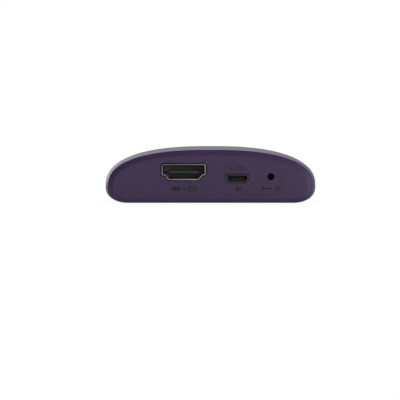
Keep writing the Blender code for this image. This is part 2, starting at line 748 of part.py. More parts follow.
def radio():
    chip("wireless_chip", 5.0 * MM, 5.0 * MM, 0.8 * MM, 17.4 * MM, 4.2 * MM, EPOXY)
    shield("wireless_shield", 9.5 * MM, 9.5 * MM, 1.7 * MM, 17.4 * MM, 4.2 * MM)
    for name, side in (("antenna_left", -1), ("antenna_right", 1)):
        antenna(name, side * 28.5 * MM)


def antenna(name, x):
    """A stamped inverted-F antenna: a bar held above the board's edge on a ground leg and a feed leg."""
    sheet, bar_length, bar_low, bar_high = 0.3 * MM, 13.0 * MM, 9.2 * MM, 11.4 * MM
    bar_y = -3.0 * MM
    bar = standing_box(name, (sheet, bar_length, bar_high - bar_low), x, bar_y, bar_low)
    leg = (sheet, 1.2 * MM, bar_low - ON_BOARD + 0.5 * MM)
    end_y = bar_y - bar_length / 2 + leg[1] / 2 + 0.01 * MM
    for i, leg_y in enumerate((end_y, end_y + 3.6 * MM)):
        join(bar, standing_box(f"{name}_leg_{i}", leg, x, leg_y, ON_BOARD))
    return finish(bar, PLATED_STEEL)


def power_supply():
    chip("power_inductor", 4.0 * MM, 4.0 * MM, 2.0 * MM, 8.0 * MM, -8.6 * MM, FERRITE)
    chip("power_regulator", 3.0 * MM, 3.0 * MM, 0.9 * MM, 13.4 * MM, -8.6 * MM, EPOXY)
    x, y, radius = -21.8 * MM, -9.0 * MM, 2.5 * MM
    can = cylinder("bulk_capacitor", radius, ON_BOARD + 0.5 * MM, ON_BOARD + 5.4 * MM, x, y, steps=24)
    soften(can, 0.3 * MM)
    join(can, standing_box("capacitor_base", (5.3 * MM, 5.3 * MM, 0.9 * MM), x, y, ON_BOARD))
    finish(can, ALUMINIUM)


def front_electronics():
    """The status light and its light guide, and the infrared receiver in its cage, behind the window."""
    light_x, light_y = 5.0 * MM, 11.2 * MM
    chip("status_light", 1.6 * MM, 0.8 * MM, 0.5 * MM, light_x, light_y, LIGHT_WHITE)
    bar = 1.6 * MM
    guide_low, guide_high = ON_BOARD + 0.6 * MM, 10.4 * MM
    guide = standing_box("light_guide", (bar, bar, guide_high - guide_low), light_x, light_y, guide_low)
    window_back = NOSE_Y - WALL - FLANGE_DEPTH - 0.3 * MM
    length = window_back - light_y
    arm = box(
        "guide_arm", (bar, length, bar), (light_x, light_y + length / 2, guide_high - bar / 2 - 0.01 * MM)
    )
    join(guide, arm)
    finish(guide, CLEAR_ACRYLIC)

    x, front_y, lens_radius = -7.0 * MM, 13.2 * MM, 1.8 * MM
    size = (5.0 * MM, 2.6 * MM, 5.0 * MM)
    receiver = standing_box("infrared_receiver", size, x, front_y - size[1] / 2, ON_BOARD)
    soften(receiver, 0.15 * MM)
    bm = bmesh.new()
    bmesh.ops.create_uvsphere(bm, u_segments=16, v_segments=10, radius=lens_radius)
    join(receiver, add_object("receiver_lens", mesh_of("receiver_lens", bm), (x, front_y, WINDOW_Z)))
    finish(receiver, DARK_EPOXY)

    sheet = 0.2 * MM
    outer = [side + 2 * (sheet + CONTACT) for side in size[:2]] + [size[2] + sheet + CONTACT]
    back_y = front_y - size[1] - sheet - CONTACT
    cage = standing_box("receiver_cage", outer, x, back_y + outer[1] / 2, ON_BOARD)
    room = (outer[0] - 2 * sheet, outer[1], 2 * (outer[2] - sheet))
    cut(cage, box("cage_room", room, (x, back_y + sheet + outer[1] / 2, ON_BOARD)))
    finish(cage, PLATED_STEEL)


# Build ------------------------------------------------------------------------------------------------------

clear_scene()
PARTS = new_collection("streaming_media_player")
TOOLS = new_collection("shaping_tools")

SATIN_PURPLE = new_material("satin purple plastic", PURPLE, 0.42)
SMOKED_LENS = new_material("smoked lens", (0.012, 0.010, 0.014), 0.06)
RUBBER = new_material("rubber", (0.02, 0.02, 0.022), 0.85)
LABEL_FOIL = new_material("label film", (0.30, 0.29, 0.32), 0.5)
BOARD_GREEN = new_material("solder mask", (0.012, 0.075, 0.035), 0.35)
ZINC = new_material("zinc plate", (0.62, 0.63, 0.65), 0.3, metallic=1.0)
PLATED_STEEL = new_material("plated steel", (0.60, 0.60, 0.62), 0.28, metallic=1.0)
SPRING_STEEL = new_material("spring steel", (0.68, 0.66, 0.60), 0.25, metallic=1.0)
ALUMINIUM = new_material("aluminium", (0.75, 0.75, 0.77), 0.35, metallic=1.0)
BLACK_NYLON = new_material("black nylon", (0.014, 0.014, 0.015), 0.5)
EPOXY = new_material("chip epoxy", (0.02, 0.02, 0.022), 0.55)
DARK_EPOXY = new_material("infrared epoxy", (0.015, 0.008, 0.012), 0.15)
FERRITE = new_material("ferrite", (0.06, 0.06, 0.065), 0.6)
THERMAL_GREY = new_material("thermal pad", (0.35, 0.40, 0.45), 0.8)
LIGHT_WHITE = new_material("light", (0.85, 0.85, 0.78), 0.3)
CLEAR_ACRYLIC = new_material("clear acrylic", (0.9, 0.9, 0.92), 0.05, transmission=0.9)

top_cover()
bottom_cover()
rear_panel()
front_window()
feet()
rating_label()
circuit_board()
board_screw("board_screw_left", -SCREW_X)
board_screw("board_screw_right", SCREW_X)
ports()
RESET_AXIS = reset_axis()
reset_button(RESET_AXIS)
switch_plunger(RESET_AXIS)
switch_base()
switch_frame()
switch_dome()
processing()
radio()
power_supply()
front_electronics()
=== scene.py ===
"""The looks of the streaming media player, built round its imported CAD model.

The casing and the ports are rebuilt with finer surfaces from the CAD nodes' boxes, the electronics keep their
CAD meshes, and every piece has a procedural material. Metres, +Z up, ports facing -Y.
"""

import math

import bmesh
import bpy
import numpy as np
from mathutils import Matrix, Vector


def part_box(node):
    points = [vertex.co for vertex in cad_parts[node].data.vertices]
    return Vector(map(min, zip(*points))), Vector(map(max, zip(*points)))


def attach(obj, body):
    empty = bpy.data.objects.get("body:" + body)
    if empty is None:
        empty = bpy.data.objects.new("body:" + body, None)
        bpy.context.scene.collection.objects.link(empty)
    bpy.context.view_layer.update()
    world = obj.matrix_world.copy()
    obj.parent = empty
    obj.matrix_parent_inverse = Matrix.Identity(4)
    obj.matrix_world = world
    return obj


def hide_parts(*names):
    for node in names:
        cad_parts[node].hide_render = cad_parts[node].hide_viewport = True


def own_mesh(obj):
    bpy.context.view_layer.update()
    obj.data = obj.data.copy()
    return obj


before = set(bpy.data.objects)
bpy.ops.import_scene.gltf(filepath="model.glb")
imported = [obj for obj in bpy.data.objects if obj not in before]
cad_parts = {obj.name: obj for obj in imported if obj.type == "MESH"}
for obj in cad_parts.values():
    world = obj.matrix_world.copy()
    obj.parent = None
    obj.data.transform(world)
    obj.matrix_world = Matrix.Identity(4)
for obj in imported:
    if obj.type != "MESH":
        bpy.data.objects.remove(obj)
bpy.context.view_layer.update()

MM = 0.001
TINY = 0.001 * MM
PLAYER, RESET = "player", "reset"

# Casing envelope: overall sizes from the CAD, and the same section rules
COVER_LOW, COVER_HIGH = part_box("top_cover")
BASE_LOW, BASE_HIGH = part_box("bottom_cover")
PANEL_LOW, PANEL_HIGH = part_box("rear_panel")
HALF_WIDTH = max(COVER_HIGH.x, BASE_HIGH.x)
HEIGHT = COVER_HIGH.z
FLOOR_Z = BASE_LOW.z
REAR_Y = PANEL_LOW.y
NOSE_Y = max(COVER_HIGH.y, BASE_HIGH.y)
COVER_REAR_Y = COVER_LOW.y
PARTING_GAP = 0.1 * MM
WAIST_Z = COVER_LOW.z - PARTING_GAP / 2
WIDEST_Y = -6.0 * MM
ARCH_POWER, CORNER_POWER = 2.5, 2.3
CROWN_POWER, BASE_POWER = 5.0, 9.0
CORNER_WIDTH = 7.0 * MM
TAPER_POWER = 2.2
TAPER_SIDE, TAPER_TOP = 1.15 * MM, 0.75 * MM
NOSE_CAP = 0.3
ARCH_STEPS, CORNER_STEPS = 36, 14
REAR_STATIONS, NOSE_STATIONS = 12, 34
WALL = 1.4 * MM
LAP_INSET, LAP_HEIGHT = 0.75 * MM, 1.5 * MM
RIM_Y = REAR_Y + 0.65 * MM
BEYOND_REAR_Y = REAR_Y - 1.0 * MM

# Rear panel: rounded edge, and the lip that plugs into the casing
PANEL_INNER_Y = COVER_REAR_Y - 0.05 * MM
BEVEL, BASE_BEVEL_SHARE = 1.9 * MM, 0.7
BEVEL_ANGLE = math.radians(17.0)
ROUNDING, BEVEL_STEPS, RIM_POWER = 0.4 * MM, 8, 2.2
PLUG_WALL, PLUG_FIT = 1.0 * MM, 0.12 * MM
PORT_GAP = 0.32 * MM
RESET_HOLE_RADIUS, RESET_TIP_RADIUS = 1.2 * MM, 1.05 * MM

# Base: board screws and locating pins (to each side), clips to the cover, and vent slots
SCREW_X, SCREW_Y = 26.3 * MM, 9.2 * MM
PIN_X, PIN_Y = 26.3 * MM, -12.2 * MM
CLIP_YS, CLIP_LENGTH = (-8.0 * MM, 6.0 * MM), 5.0 * MM
VENT_COUNT, VENT_PITCH, VENT_LENGTH, VENT_WIDTH, VENT_Y = 9, 3.2 * MM, 11.0 * MM, 1.3 * MM, 5.5 * MM
FEET = ("foot_rear_left", "foot_rear_right", "foot_front_left", "foot_front_right")

# Front window: the lens, and the flange behind it that holds it in
WINDOW_LOW, WINDOW_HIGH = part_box("front_window")
WINDOW_FLANGE, WINDOW_FIT, WINDOW_INSET = 1.0 * MM, 0.12 * MM, 0.05 * MM
WINDOW_WIDTH = WINDOW_HIGH.x - WINDOW_LOW.x - 2 * WINDOW_FLANGE
WINDOW_HEIGHT = WINDOW_HIGH.z - WINDOW_LOW.z - 2 * WINDOW_FLANGE
WINDOW_Z = (WINDOW_LOW.z + WINDOW_HIGH.z) / 2

# Reset button
RESET_LOW, RESET_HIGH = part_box("reset_button")
RESET_X, RESET_Z = (RESET_LOW.x + RESET_HIGH.x) / 2, (RESET_LOW.z + RESET_HIGH.z) / 2

# Electronics
BLADE = 0.05 * MM
LEG_DEPTH = 1.6 * MM
SMALL_CHIPS, SMALL_CHIP_TRIES = 64, 900

# Light: (direction, strength) of each broad lobe in the sky, and a pool of light on the floor
LOBES = (
    ((-0.19, 0.52, 0.83), 3.5),
    ((-0.59, 0.81, -0.02), 2.1),
    ((0.45, 0.75, 0.50), 0.75),
    ((0.98, -0.20, -0.05), 1.25),
    ((0.78, -0.60, -0.10), 0.3),
    ((0.38, -0.91, -0.15), 1.95),
    ((0.00, -0.62, 0.78), 0.28),
)
LOBE_CORE, LOBE_EDGE = math.radians(9.5), math.radians(38.0)
AMBIENT, AMBIENT_FROM_BELOW = 0.015, 0.8
FLOOR_GLOW = 0.25
POOL_AT, POOL_RADIUS, POOL_STRENGTH = (58.0 * MM, -34.0 * MM, 0.0), 30.0 * MM, 1.2
WHITE = (1, 1, 1)

# Camera: the tilt is down from level, in radians
CAMERA_AT, CAMERA_TILT = (-3.59 * MM, REAR_Y - 740.0 * MM, 38.1 * MM), 0.04988
LENS = 197.0


# Meshes ------------


def add_object(name, mesh, location=(0, 0, 0)):
    obj = bpy.data.objects.new(name, mesh)
    obj.location = location
    bpy.context.scene.collection.objects.link(obj)
    return obj


def solid(name, bm, location=(0, 0, 0)):
    bmesh.ops.recalc_face_normals(bm, faces=bm.faces)
    mesh = bpy.data.meshes.new(name)
    bm.to_mesh(mesh)
    bm.free()
    return add_object(name, mesh, location)


def bridge(bm, rings):
    """Faces between each ring of vertices and the next. A ring of one vertex repeated is a tip."""
    for ring, following in zip(rings, rings[1:]):
        for i in range(len(ring)):
            corners = (ring[i - 1], ring[i], following[i], following[i - 1])
            bm.faces.new(list(dict.fromkeys(corners)))


def loft(name, loops, closed=False):
    """A solid through loops with equal numbers of points: capped at both ends, or closed into a ring."""
    bm = bmesh.new()
    rings = [[bm.verts.new(point) for point in loop] for loop in loops]
    bridge(bm, rings + rings[:1] if closed else rings)
    if not closed:
        bm.faces.new(rings[0])
        bm.faces.new(rings[-1])
    return solid(name, bm)


def box(name, size, location=(0, 0, 0)):
    bm = bmesh.new()
    bmesh.ops.create_cube(bm, size=1.0, matrix=Matrix.Diagonal((*size, 1.0)))
    return solid(name, bm, location)


def filled(name, outlines, thickness, location, along_y=False):
    """Flat outlines given a thickness, centred on location. An outline inside another is a hole."""
    curve = bpy.data.curves.new(name, "CURVE")
    curve.dimensions = "2D"
    curve.fill_mode = "BOTH"
    curve.extrude = thickness / 2
    for outline in outlines:
        spline = curve.splines.new("POLY")
        spline.points.add(len(outline) - 1)
        for point, (u, v) in zip(spline.points, outline):
            point.co = (u, v, 0, 1)
        spline.use_cyclic_u = True
    drawing = add_object(name, curve)
    graph = bpy.context.evaluated_depsgraph_get()
    mesh = bpy.data.meshes.new_from_object(drawing.evaluated_get(graph))
    bpy.data.objects.remove(drawing)
    bm = bmesh.new()
    bm.from_mesh(mesh)
    bpy.data.meshes.remove(mesh)
    bmesh.ops.remove_doubles(bm, verts=bm.verts, dist=TINY)
    if along_y:
        bm.transform(Matrix.Rotation(math.pi / 2, 4, "X"))
    return solid(name, bm, location)


def turned(name, profile, location, steps=48):
    """A profile of (radius, height) points turned about the local Z axis, with its two ends on the axis."""
    bm = bmesh.new()
    angles = [2 * math.pi * i / steps for i in range(steps)]
    rings = []
    for radius, height in profile:
        if radius < TINY:
            rings.append([bm.verts.new((0, 0, height))] * steps)
        else:
            ring = [(radius * math.cos(a), radius * math.sin(a), height) for a in angles]
            rings.append([bm.verts.new(point) for point in ring])
    bridge(bm, rings)
    return solid(name, bm, location)


def turned_along_y(name, profile, x, y, z, steps):
    """A turned solid with its axis along Y and its heights pointing to -Y, its place baked into its mesh."""
    obj = turned(name, profile, (0, 0, 0), steps)
    obj.data.transform(Matrix.Translation((x, y, z)) @ Matrix.Rotation(math.pi / 2, 4, "X"))
    return obj


def extruded_x(name, outline, width, x):
    """A (y, z) outline extruded along X, its middle at x."""
    return loft(name, [[(x + end, y, z) for y, z in outline] for end in (-width / 2, width / 2)])


def bake(obj):
    """Applies the object's modifiers to its mesh."""
    graph = bpy.context.evaluated_depsgraph_get()
    mesh = bpy.data.meshes.new_from_object(obj.evaluated_get(graph))
    obj.modifiers.clear()
    old = obj.data
    obj.data = mesh
    bpy.data.meshes.remove(old)


def combine(obj, others, operation):
    for other in others:
        modifier = obj.modifiers.new("combine", "BOOLEAN")
        modifier.operation = operation
        modifier.object = other
        modifier.solver = "MANIFOLD"
    bake(obj)
    for other in others:
        bpy.data.objects.remove(other)


def cut(obj, *others):
    combine(obj, others, "DIFFERENCE")


def join(obj, *others):
    combine(obj, others, "UNION")


def keep_inside(obj, other):
    combine(obj, [other], "INTERSECT")


def round_edges(obj, width, segments):
    bevel = obj.modifiers.new("round edges", "BEVEL")
    bevel.width = width
    bevel.segments = segments
    bevel.limit_method = "ANGLE"
    bevel.angle_limit = math.radians(35.0)
    bake(obj)


def shade(obj, sharp_angle, flat_axis=None):
    """Smooth shading with sharp edges past an angle, and round any flat face square to flat_axis."""
    bm = bmesh.new()
    bm.from_mesh(obj.data)
    limit = math.radians(sharp_angle)
    axis = Vector(flat_axis) if flat_axis else None
    for face in bm.faces:
        face.smooth = True
    for edge in bm.edges:
        if len(edge.link_faces) != 2:
            continue
        sharp = edge.calc_face_angle(0.0) > limit
        if axis:
            flat = [abs(face.normal.dot(axis)) > 0.9999 for face in edge.link_faces]
            sharp = sharp or flat[0] != flat[1]
        edge.smooth = not sharp
    bm.to_mesh(obj.data)
    bm.free()


def dress(obj, material, body=PLAYER, replaces=None, sharp_angle=35.0, flat_axis=None):
    """Shades a piece, gives it its material and puts it on its body."""
    shade(obj, sharp_angle, flat_axis)
    obj.data.materials.clear()
    obj.data.materials.append(material)
    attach(obj, body)
    if replaces:
        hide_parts(replaces)


# Outlines ------------


def quarter_arc(width, height, power, steps):
    angles = [math.pi / 2 * i / steps for i in range(steps + 1)]
    return [(width * math.cos(a) ** (2 / power), height * math.sin(a) ** (2 / power)) for a in angles]


def rounded(corners, steps=8):
    """The outline of a polygon whose corners are (u, v, radius), each turned into an arc."""
    outline = []
    for i, (u, v, radius) in enumerate(corners):
        before, after = corners[i - 1], corners[(i + 1) % len(corners)]
        to_before = math.atan2(before[1] - v, before[0] - u)
        to_after = math.atan2(after[1] - v, after[0] - u)
        turn = (to_after - to_before + math.pi) % (2 * math.pi) - math.pi
        reach = radius / math.sin(abs(turn) / 2)
        bisector = to_before + turn / 2
        centre_u, centre_v = u + reach * math.cos(bisector), v + reach * math.sin(bisector)
        start = to_before - math.copysign(math.pi / 2, turn)
        sweep = -math.copysign(math.pi - abs(turn), turn)
        for k in range(steps + 1):
            angle = start + sweep * k / steps
            outline.append((centre_u + radius * math.cos(angle), centre_v + radius * math.sin(angle)))
    return outline


def grown(corners, distance):
    """The same clockwise polygon with every side moved outwards by distance."""
    moved = []
    for i, (u, v, radius) in enumerate(corners):
        before, after = corners[i - 1], corners[(i + 1) % len(corners)]
        first = math.atan2(v - before[1], u - before[0]) + math.pi / 2
        second = math.atan2(after[1] - v, after[0] - u) + math.pi / 2
        turn = (second - first + math.pi) % (2 * math.pi) - math.pi
        reach = distance / math.cos(turn / 2)
        middle = first + turn / 2
        new_radius = radius + distance if turn < 0 else radius - distance
        new_radius = max(new_radius, 0.1 * MM)
        moved.append((u + reach * math.cos(middle), v + reach * math.sin(middle), new_radius))
    return moved


def rectangle(width, height, radius, u=0.0, v=0.0, steps=8):
    signs = ((1, 1), (1, -1), (-1, -1), (-1, 1))
    return rounded([(u + a * width / 2, v + b * height / 2, radius) for a, b in signs], steps)


def circle(radius, steps):
    angles = [2 * math.pi * i / steps for i in range(steps)]
    return [(radius * math.cos(a), radius * math.sin(a)) for a in angles]


def arc_band(radius, width, start, end, steps=28):
    angles = [math.radians(start + (end - start) * i / steps) for i in range(steps + 1)]
    radii = (radius + width / 2, radius - width / 2)
    outer, inner = ([(r * math.cos(a), r * math.sin(a)) for a in angles] for r in radii)
    return outer + inner[::-1]


# Casing envelope ------------


def rear_taper(y):
    share = (WIDEST_Y - y) / (WIDEST_Y - RIM_Y)
    return min(max(share, 0.0), 1.0) ** TAPER_POWER


def nose_scale(y, inset, power):
    share = (y - WIDEST_Y) / (NOSE_Y - inset - WIDEST_Y)
    return (1.0 - min(max(share, 0.0), 1.0) ** power) ** (1.0 / power)


def casing_outline(y, inset=0.0, base_inset=None):
    """The casing's cross-section at y, pulled in by inset: an arch above the waist, a flat base below it."""
    base_inset = inset if base_inset is None else base_inset
    taper = rear_taper(y)
    crown = nose_scale(y, inset, CROWN_POWER)
    half_width = (HALF_WIDTH - TAPER_SIDE * taper - inset) * crown
    rise = (HEIGHT - WAIST_Z - TAPER_TOP * taper - inset) * crown
    drop = (WAIST_Z - FLOOR_Z - base_inset) * nose_scale(y, inset, BASE_POWER)
    corner = (CORNER_WIDTH - inset) * crown
    arch = [(x, WAIST_Z + z) for x, z in quarter_arc(half_width, rise, ARCH_POWER, ARCH_STEPS)]
    lower = [
        (half_width - corner + x, WAIST_Z - z)
        for x, z in quarter_arc(corner, drop, CORNER_POWER, CORNER_STEPS)
    ]
    right = lower[:0:-1] + arch
    left = [(-x, z) for x, z in right[-2::-1]]
    return right + left


def casing_loop(section_y, y, inset, base_inset=None):
    """The cross-section at section_y as 3-D points, set at y."""
    return [(x, y, z) for x, z in casing_outline(section_y, inset, base_inset)]


def stations(rear_y, inset):
    reach = NOSE_Y - inset - WIDEST_Y
    last = math.acos(NOSE_CAP ** (CROWN_POWER / 2))
    behind = [rear_y + (WIDEST_Y - rear_y) * i / REAR_STATIONS for i in range(REAR_STATIONS)]
    ahead = [
        WIDEST_Y + reach * math.sin(last * i / NOSE_STATIONS) ** (2 / CROWN_POWER)
        for i in range(NOSE_STATIONS + 1)
    ]
    return behind + ahead


def casing_solid(name, inset, rear_y):
    """The casing's whole envelope, pulled in by inset."""
    return loft(name, [casing_loop(y, y, inset) for y in stations(rear_y, inset)])


def slab(name, low, high):
    """A cutter wider than the casing, between two heights."""
    return box(name, (0.2, 0.2, high - low), (0, 0, (low + high) / 2))


# Materials ------------


class Nodes:
    """A node tree. add() makes a node, from sockets or values for its inputs, and gives one output."""

    def __init__(self, tree):
        self.tree = tree

    def feed(self, socket, value):
        if isinstance(value, bpy.types.NodeSocket):
            self.tree.links.new(value, socket)
        else:
            socket.default_value = (*value, 1.0) if socket.type == "RGBA" else value

    def add(self, kind, inputs=None, out=0, **settings):
        node = self.tree.nodes.new("ShaderNode" + kind)
        for key, value in settings.items():
            setattr(node, key, value)
        for key, value in (inputs or {}).items():
            self.feed(node.inputs[key], value)
        return node.outputs[out]

    def ranged(self, value, low, high, from_low=0.0, from_high=1.0, **settings):
        spans = {"Value": value, "From Min": from_low, "From Max": from_high, "To Min": low, "To Max": high}
        return self.add("MapRange", spans, **settings)

    def mix(self, share, first, second, blend_type="MIX"):
        return self.add("MixRGB", {0: share, 1: first, 2: second}, blend_type=blend_type)

    def math(self, operation, first, second=0.0):
        return self.add("Math", {0: first, 1: second}, operation=operation)

    def vector(self, operation, first, second):
        out = "Value" if operation in ("DOT_PRODUCT", "DISTANCE") else "Vector"
        return self.add("VectorMath", {0: first, 1: second}, out=out, operation=operation)

    def part(self, vector, axis):
        return self.add("SeparateXYZ", {0: vector}, out=axis)


class Look(Nodes):
    """A material's nodes. Its textures lie in the object's own coordinates."""

    def __init__(self, name):
        self.material = bpy.data.materials.new(name)
        self.material.use_nodes = True
        super().__init__(self.material.node_tree)
        self.place = self.add("TexCoord", out="Object")

    def noise(self, scale, detail=2.0, stretch=None):
        where = self.place
        if stretch:
            where = self.add("Mapping", {"Vector": self.place, "Scale": stretch})
        return self.add("TexNoise", {"Vector": where, "Scale": scale, "Detail": detail})

    def finish(self, color, roughness, bump=None, **values):
        """Sets the shader's inputs, written with underscores for spaces.

        bump is (height, strength, depth in mm, radius in mm to which edges look rounded).
        """
        values.update(Base_Color=color, Roughness=roughness)
        if bump:
            height, strength, depth, edge = bump
            inputs = {"Height": height, "Strength": strength, "Distance": depth * MM}
            if edge:
                inputs["Normal"] = self.add("Bevel", {"Radius": edge * MM})
            values["Normal"] = self.add("Bump", inputs)
        shader = self.tree.nodes["Principled BSDF"]
        for key, value in values.items():
            self.feed(shader.inputs[key.replace("_", " ")], value)
        return self.material


def scaled(color, factor):
    return tuple(min(c * factor, 1.0) for c in color)


def grained(name, colors, roughness, tint, wear=None, grain=None, relief=None, **values):
    """A material of noises, each (scale, detail): tint for color, wear for roughness, grain for bumps.
    """
    look = Look(name)
    color = look.mix(look.noise(*tint), *colors)
    roughness = look.ranged(look.noise(*(wear or tint)), *roughness)
    bump = (look.noise(*(grain or tint)), *relief) if relief else None
    return look.finish(color, roughness, bump, **values)


def satin_plastic(name, color, roughness, grain):
    """Injection-moulded plastic with a fine spark-eroded grain and softened edges."""
    look = Look(name)
    tone = look.ranged(look.noise(220.0, 3.0), 0.0, 1.0, 0.35, 0.65)
    return look.finish(
        look.mix(tone, scaled(color, 0.94), scaled(color, 1.05)),
        look.ranged(look.noise(1400.0), roughness - 0.03, roughness + 0.03, 0.3, 0.7),
        (look.noise(9000.0), grain, 0.01, 0.12),
    )


def metal(name, color, roughness, brushed=(1, 1, 1), edge=0.04, painted_light=None):
    """Plated or bare sheet metal with slight stains and, if asked, brushing along one axis.

    The optional last argument is (slope, middle): painted light and shade, the metal's brightness changing by
    slope per metre away from the middle.
    """
    look = Look(name)
    stain = look.ranged(look.noise(500.0, 4.0), 0.0, 1.0, 0.3, 0.7)
    streaks = look.noise(1500.0, 3.0, stretch=brushed)
    plating_and_painted_light = look.mix(stain, scaled(color, 0.86), color)
    # Painted light and shade: the stained metal is made brighter along one slope and darker against it.
    if painted_light:
        slope, middle = painted_light
        painted_shading_gain = look.vector("DOT_PRODUCT", look.vector("SUBTRACT", look.place, middle), slope)
        plating_and_painted_light = look.mix(1.0, plating_and_painted_light, look.math("ADD", painted_shading_gain, 0.9), blend_type="MULTIPLY")
    return look.finish(
        plating_and_painted_light,
        look.ranged(streaks, roughness - 0.07, roughness + 0.1, 0.3, 0.7),
        (streaks, 0.12, 0.01, edge),
        Metallic=1.0,
    )


def nylon(name, color=(0.012, 0.012, 0.013), roughness=0.5, specular=0.4, deeper=None):
    """Moulded nylon with flow marks. deeper is (y, y, color): it fades to that color between the two."""
    look = Look(name)
    flow = look.noise(700.0, 3.0, stretch=(1.0, 0.3, 1.0))
    base = look.mix(flow, scaled(color, 0.8), scaled(color, 1.5))
    if deeper:
        front_y, back_y, far_color = deeper
        depth = look.ranged(look.part(look.place, "Y"), 0.0, 1.0, front_y, back_y)
        base = look.mix(depth, base, far_color)
    return look.finish(
        base,
        look.ranged(flow, roughness - 0.08, roughness + 0.08),
        (look.noise(5000.0), 0.2, 0.01, 0.05),
        Specular_IOR_Level=specular,
    )


def epoxy(name, node, color=(0.022, 0.022, 0.025)):
    """Moulded chip package: fine speckle, and a shallow round mark by the first pin."""
    low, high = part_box(node)
    look = Look(name)
    mark = (low.x + 0.16 * (high.x - low.x), high.y - 0.16 * (high.y - low.y), 0.0)
    away = look.vector("DISTANCE", look.vector("MULTIPLY", look.place, (1, 1, 0)), mark)
    radius = 0.06 * min(high.x - low.x, high.y - low.y)
    pit = look.ranged(away, 0.0, 1.0, radius * 0.85, radius)
    speckle = look.noise(7000.0, 3.0)
    height = look.math("ADD", look.math("MULTIPLY", pit, 3.0), speckle)
    base = look.mix(look.ranged(speckle, 0, 1, 0.4, 0.75), color, scaled(color, 2.2))
    return look.finish(
        look.mix(pit, scaled(color, 0.5), base),
        look.ranged(look.noise(900.0), 0.45, 0.6),
        (height, 0.35, 0.02, 0.08),
    )


def blank_film(name):
    """A blank satin film with a thin printed frame."""
    low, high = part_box("rating_label")
    look = Look(name)
    inset, line = 0.9 * MM, 0.14 * MM
    centre, half = (low + high) / 2, (high - low) / 2
    gaps = []
    for i, axis in enumerate("XY"):
        away = look.math("ABSOLUTE", look.math("SUBTRACT", look.part(look.place, axis), centre[i]))
        gaps.append(look.math("SUBTRACT", away, half[i] - inset))
    nearest = look.math("MAXIMUM", *gaps)
    on_line = look.math("LESS_THAN", look.math("ABSOLUTE", nearest), line / 2)
    weave = look.noise(2500.0, 3.0)
    film = look.mix(weave, (0.25, 0.245, 0.265), (0.30, 0.29, 0.32))
    return look.finish(
        look.mix(on_line, film, (0.05, 0.05, 0.055)),
        look.ranged(weave, 0.38, 0.5),
        (look.noise(1200.0), 0.08, 0.02, 0.0),
    )


def solder_mask(name):
    """Green board: traces under the mask, bare gold pads, and glass-fibre edges."""
    look = Look(name)
    rows = {"Brick Width": 0.9, "Row Height": 0.16, "Mortar Size": 0.035, "Mortar Smooth": 0.1}
    lines = look.add("TexBrick", {**rows, "Vector": look.place, "Scale": 260.0}, out="Fac", offset=0.37)
    patches = look.ranged(look.noise(95.0, 1.0), 0.0, 1.0, 0.46, 0.5)
    traces = look.math("MULTIPLY", lines, patches)
    mask = look.mix(look.noise(300.0, 3.0), (0.006, 0.050, 0.024), (0.010, 0.072, 0.034))
    green = look.mix(traces, mask, (0.022, 0.135, 0.060))
    cells = look.add("TexVoronoi", {"Vector": look.place, "Scale": 420.0}, out="Distance")
    pads = look.math("LESS_THAN", cells, 0.085)
    surface = look.mix(pads, green, (0.62, 0.42, 0.16))
    upright_share = look.math("ABSOLUTE", look.part(look.add("NewGeometry", out="Normal"), "Z"))
    edge = look.math("LESS_THAN", upright_share, 0.5)
    layers = look.noise(200.0, stretch=(0.2, 0.2, 12.0))
    fibre = look.mix(layers, (0.32, 0.27, 0.10), (0.42, 0.38, 0.18))
    return look.finish(
        look.mix(edge, surface, fibre),
        look.ranged(look.noise(600.0), 0.26, 0.4),
        (look.math("ADD", traces, pads), 0.4, 0.02, 0.0),
        Metallic=look.math("MULTIPLY", pads, look.math("SUBTRACT", 1.0, edge)),
    )


def light_package(name):
    """A white package with a yellow phosphor window in its middle."""
    low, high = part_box("status_light")
    look = Look(name)
    away = look.vector("DISTANCE", look.place, (low + high) / 2)
    window = look.math("LESS_THAN", away, 0.34 * MM)
    cream = look.mix(look.noise(3000.0), (0.78, 0.78, 0.74), (0.86, 0.86, 0.82))
    return look.finish(
        look.mix(window, cream, (0.80, 0.62, 0.10)),
        look.ranged(window, 0.45, 0.2),
        (look.noise(2500.0), 0.1, 0.01, 0.05),
    )


def capacitor_metal(name):
    """Aluminium can with a dark half-moon on top for the negative side, on a black base."""
    low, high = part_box("bulk_capacitor")
    look = Look(name)
    up = look.part(look.place, "Z")
    top = look.math("GREATER_THAN", up, high.z - 0.05 * MM)
    side = look.math("LESS_THAN", look.part(look.place, "X"), (low.x + high.x) / 2 - 1.0 * MM)
    base = look.math("LESS_THAN", up, low.z + 0.95 * MM)
    dark = look.math("MAXIMUM", look.math("MULTIPLY", top, side), base)
    streaks = look.noise(900.0, 3.0, stretch=(1, 1, 6))
    silver = look.mix(streaks, (0.62, 0.62, 0.64), (0.78, 0.78, 0.80))
    return look.finish(
        look.mix(dark, silver, (0.02, 0.02, 0.022)),
        look.ranged(streaks, 0.28, 0.42),
        (streaks, 0.1, 0.01, 0.1),
        Metallic=look.math("SUBTRACT", 1.0, dark),
    )


PURPLE = (0.0805, 0.0405, 0.1335)
CASING = satin_plastic("casing_plastic", PURPLE, roughness=0.42, grain=0.25)
PANEL = satin_plastic("panel_plastic", PURPLE, roughness=0.40, grain=0.18)
TIN = metal("tin_plate", (0.66, 0.66, 0.68), 0.3, brushed=(0.2, 1, 1), edge=0.15)
ZINC = metal("zinc_plate", (0.62, 0.63, 0.66), 0.28, edge=0.1)
GRIP = metal("grip_nickel", (0.20, 0.20, 0.20), 0.42)
SPRING = metal("spring_steel", (0.66, 0.63, 0.56), 0.22)
GOLD = metal("contact_gold", (0.52, 0.41, 0.21), 0.34)
ALUMINIUM = metal("satin_aluminium", (0.76, 0.76, 0.78), 0.36, brushed=(0.1, 1, 1), edge=0.15)
NYLON = nylon("black_nylon")
RUBBER = grained(
    "foot_rubber", ((0.016, 0.016, 0.018), (0.032, 0.031, 0.034)), (0.75, 0.95), tint=(400.0,),
    wear=(3500.0, 4.0), grain=(3500.0, 4.0), relief=(0.5, 0.02, 0.15), Specular_IOR_Level=0.3,
)
